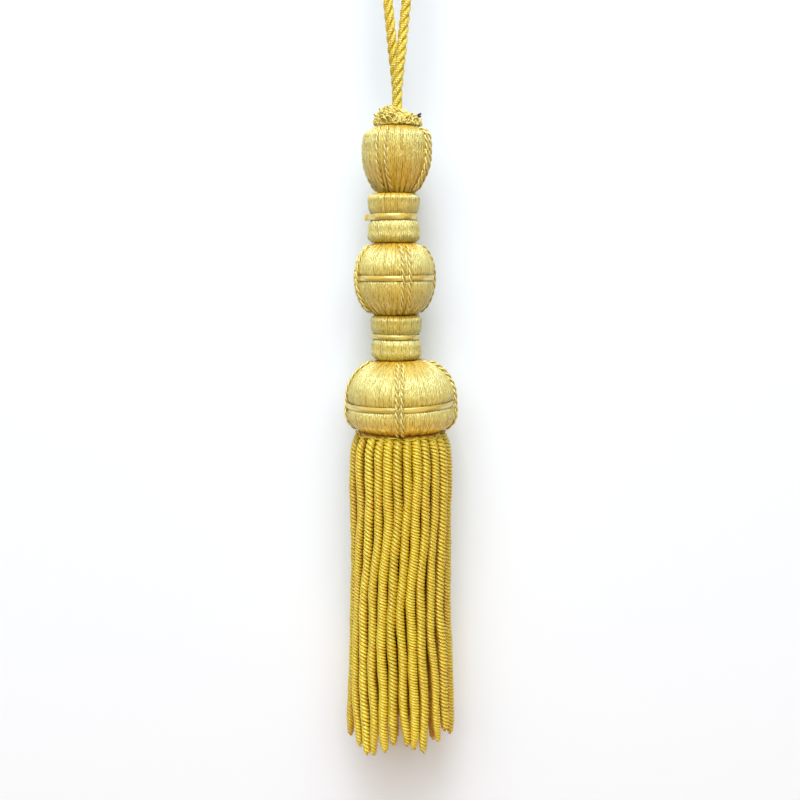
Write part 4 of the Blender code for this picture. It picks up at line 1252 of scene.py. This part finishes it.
class TASSEL_OT_skirt(bpy.types.Operator):
    """Hang the twisted bullion strands below the bell"""

    bl_idname = "tassel.skirt"
    bl_label = "Bullion skirt"

    def execute(self, context):
        settings = context.scene.tassel_skirt
        finish = silk("bullion_silk", settings.colour, settings.deep, roughness=0.37,
                      streaks=(1.8, 1.8), specks=(0.55, 0.55), relief=0.08 * MM,
                      mottle=(0.3, 0.5), density=1.72, gleam=(1.0, 0.97, 0.52))
        outer = outer_rows()
        front = len(FRONT_STRANDS)
        rows = [(outer[:front], OUTER_ROW[1]), (outer[front:], OUTER_ROW[1])]
        rows += [(inner_rows(row), row[1]) for row in INNER_ROWS]
        tips = []
        for salt, ((strands, hang_radius), grid) in enumerate(zip(rows, SKIRT_GRIDS), 1):
            name, places, steps, least_painted_shade = grid
            points, deep_tone_and_painted_shade, shade, depth = strand_grid(
                strands, hang_radius, settings, places, steps, salt)
            around = TURN * settings.strand / 2.0 / MM / (settings.ridges * len(places))
            # Painted shade: the inner rows hang in the skirt's shade and get at least their
            # share.
            add_piece(name, points, {"deep_tone_and_painted_shade": np.maximum(deep_tone_and_painted_shade, least_painted_shade), "shade": shade},
                      around, depth, finish, ["skirt"])
            tips.append(points[:, -1].mean(axis=1))
        loops = tip_loops(np.concatenate(tips[:LOOPED_ROWS]), settings.strand / 2.0)
        for name, lines, radius, around in (
                ("skirt_tip_loops", loops, LOOP_THREAD, 0.17),
                ("bell_rim_thread", rim_thread(), RIM_THREAD, 0.2)):
            points = thread_skins(lines, UP, radius * MM, columns=6)
            add_piece(name, points, {"deep_tone_and_painted_shade": 0.1, "shade": 0.0}, around,
                      travelled(lines) / MM, finish)
        radius, height = HEADING
        section = [(0.0, 0.5), (0.0, radius), (height, radius), (height, 0.5)]
        disc = lathe(section, columns=96, base_z=top_of("skirt"), axis_x=SKIRT_AXIS_X)
        # Painted shade on the heading, which lies in the shade under the bell.
        add_piece("skirt_heading", disc, {"deep_tone_and_painted_shade": 0.9, "shade": 0.5}, around=1.0,
                  along=np.arange(len(section)), material=finish,
                  nodes=["skirt"])
        return {"FINISHED"}


# ---- Stage ----

class StageSettings(bpy.types.PropertyGroup):
    """Camera, wall and lights"""

    wall_distance: FloatProperty(
        name="Wall distance", description="From the tassel's axis back to the wall",
        default=24.0 * MM, unit="LENGTH")
    sky: FloatProperty(
        name="Sky", default=0.12, min=0.0,
        description="Strength of the even warm light all round, seen as plain white")
    key: FloatProperty(
        name="Key light", description="Power of the soft light high above the front",
        default=47.0, min=0.0)
    sheet: FloatProperty(
        name="Light sheet", description="Power of the broad light before the front",
        default=79.0, min=0.0)
    fill: FloatProperty(
        name="Fill light", description="Power of the warm light below the front", default=20.0,
        min=0.0)
    key_size: FloatProperty(
        name="Key light size", description="Side of the square key light", default=1.2,
        unit="LENGTH")
    sheet_size: FloatProperty(
        name="Light sheet size", description="Side of the square light sheet", default=2.8,
        unit="LENGTH")


def plain(name, colour, roughness, glow, strength):
    """A plain matt finish with a little glow on its front side, and clear from its back."""
    material, tree, shader = new_finish(name)
    feed(tree, shader.inputs["Base Color"], colour)
    feed(tree, shader.inputs["Roughness"], roughness)
    feed(tree, shader.inputs["Specular IOR Level"], 0.2)
    feed(tree, shader.inputs["Emission Color"], glow)
    feed(tree, shader.inputs["Emission Strength"], strength)
    side = add_node(tree, "ShaderNodeNewGeometry", (-400, 300))
    clear = add_node(tree, "ShaderNodeBsdfTransparent", (-400, -300))
    add_shader_blend(tree, (200, 0), side.outputs["Backfacing"], shader.outputs[0],
                     clear.outputs[0], "Material Output")
    return material


def add_plane(name, corners, material):
    """A flat stage piece through its corners."""
    mesh = bpy.data.meshes.new(name)
    mesh.from_pydata(corners, [], [tuple(range(len(corners)))])
    mesh.materials.append(material)
    piece = bpy.data.objects.new(name, mesh)
    bpy.context.scene.collection.objects.link(piece)


def add_light(name, place, size, power, colour=(1.0, 1.0, 1.0)):
    """A square area light that looks at the lit point."""
    data = bpy.data.lights.new(name, "AREA")
    data.size = size
    data.energy = power
    data.color = colour
    light = bpy.data.objects.new(name, data)
    light.location = place
    away = np.array(place) - np.array(LIT_POINT)
    yaw = math.atan2(away[0], -away[1])
    pitch = math.atan2(math.hypot(away[0], away[1]), away[2])
    light.rotation_euler = (pitch, 0.0, yaw)
    bpy.context.scene.collection.objects.link(light)


def studio_world(strength):
    """A world of even warm light that the camera sees as plain white."""
    world = bpy.data.worlds.new("studio")
    world.use_nodes = True
    tree = world.node_tree
    warm = tree.nodes["Background"]
    feed(tree, warm.inputs["Color"], SKY_COLOUR)
    feed(tree, warm.inputs["Strength"], strength)
    white = add_node(tree, "ShaderNodeBackground", (0, -200), Strength=1.0)
    feed(tree, white.inputs["Color"], (1.0, 1.0, 1.0))
    seen = add_node(tree, "ShaderNodeLightPath", (-200, 300))
    add_shader_blend(tree, (250, 0), seen.outputs["Is Camera Ray"], warm.outputs[0],
                     white.outputs[0], "World Output")
    return world


class TASSEL_OT_stage(bpy.types.Operator):
    """Set the camera, the pale wall and the soft lights"""

    bl_idname = "tassel.stage"
    bl_label = "Camera, wall and lights"

    def execute(self, context):
        settings = context.scene.tassel_stage
        scene = context.scene
        scene.view_settings.view_transform = "Standard"
        lens = bpy.data.cameras.new("camera")
        lens.lens = CAMERA_LENS
        lens.sensor_width = CAMERA_SENSOR
        lens.clip_start = 0.01
        camera = bpy.data.objects.new("camera", lens)
        camera.location = CAMERA_PLACE
        camera.rotation_euler = (math.radians(90.0 - CAMERA_DIP), 0.0, 0.0)
        scene.collection.objects.link(camera)
        scene.camera = camera
        back = settings.wall_distance
        wall = plain("wall_white", WALL_COLOUR, WALL_ROUGHNESS, WALL_GLOW, WALL_GLOW_STRENGTH)
        corners = [(-WALL_HALF, back, WALL_FOOT), (WALL_HALF, back, WALL_FOOT),
                   (WALL_HALF, back, WALL_HEAD), (-WALL_HALF, back, WALL_HEAD)]
        add_plane("wall", corners, wall)
        scene.world = studio_world(settings.sky)
        add_light("key", KEY_PLACE, settings.key_size, settings.key)
        add_light("sheet", SHEET_PLACE, settings.sheet_size, settings.sheet)
        add_light("fill", FILL_PLACE, FILL_SIZE, settings.fill, FILL_COLOUR)
        return {"FINISHED"}


# ---- Panel and registration ----

OPERATORS = (
    TASSEL_OT_stage, TASSEL_OT_hanging_cord, TASSEL_OT_ruff, TASSEL_OT_covers,
    TASSEL_OT_ribbons, TASSEL_OT_sewn_cords, TASSEL_OT_skirt,
)
SETTINGS = {
    "tassel_stage": StageSettings, "tassel_cord": CordSettings, "tassel_ruff": RuffSettings,
    "tassel_covers": CoverSettings, "tassel_ribbons": RibbonSettings,
    "tassel_sewn_cords": SewnCordSettings, "tassel_skirt": SkirtSettings,
}


class TASSEL_PT_pieces(bpy.types.Panel):
    """Lists the tassel's pieces with their sizes and colours"""

    bl_idname = "TASSEL_PT_pieces"
    bl_label = "Silk tassel"
    bl_space_type = "VIEW_3D"
    bl_region_type = "UI"
    bl_category = "Tassel"

    def draw(self, context):
        for operator, name in zip(OPERATORS, SETTINGS):
            box = self.layout.box()
            box.operator(operator.bl_idname)
            settings = getattr(context.scene, name)
            for field in settings.bl_rna.properties:
                if not field.is_readonly and field.identifier != "name":
                    box.prop(settings, field.identifier)


def register():
    for name, group in SETTINGS.items():
        bpy.utils.register_class(group)
        setattr(bpy.types.Scene, name, PointerProperty(type=group))
    for cls in OPERATORS + (TASSEL_PT_pieces,):
        bpy.utils.register_class(cls)


def unregister():
    for cls in reversed(OPERATORS + (TASSEL_PT_pieces,)):
        bpy.utils.unregister_class(cls)
    for name, group in reversed(SETTINGS.items()):
        delattr(bpy.types.Scene, name)
        bpy.utils.unregister_class(group)


def main():
    register()
    bpy.ops.tassel.stage()
    bpy.ops.tassel.hanging_cord()
    bpy.ops.tassel.ruff()
    bpy.ops.tassel.covers()
    bpy.ops.tassel.ribbons()
    bpy.ops.tassel.sewn_cords()
    bpy.ops.tassel.skirt()


if __name__ == "__main__":
    main()
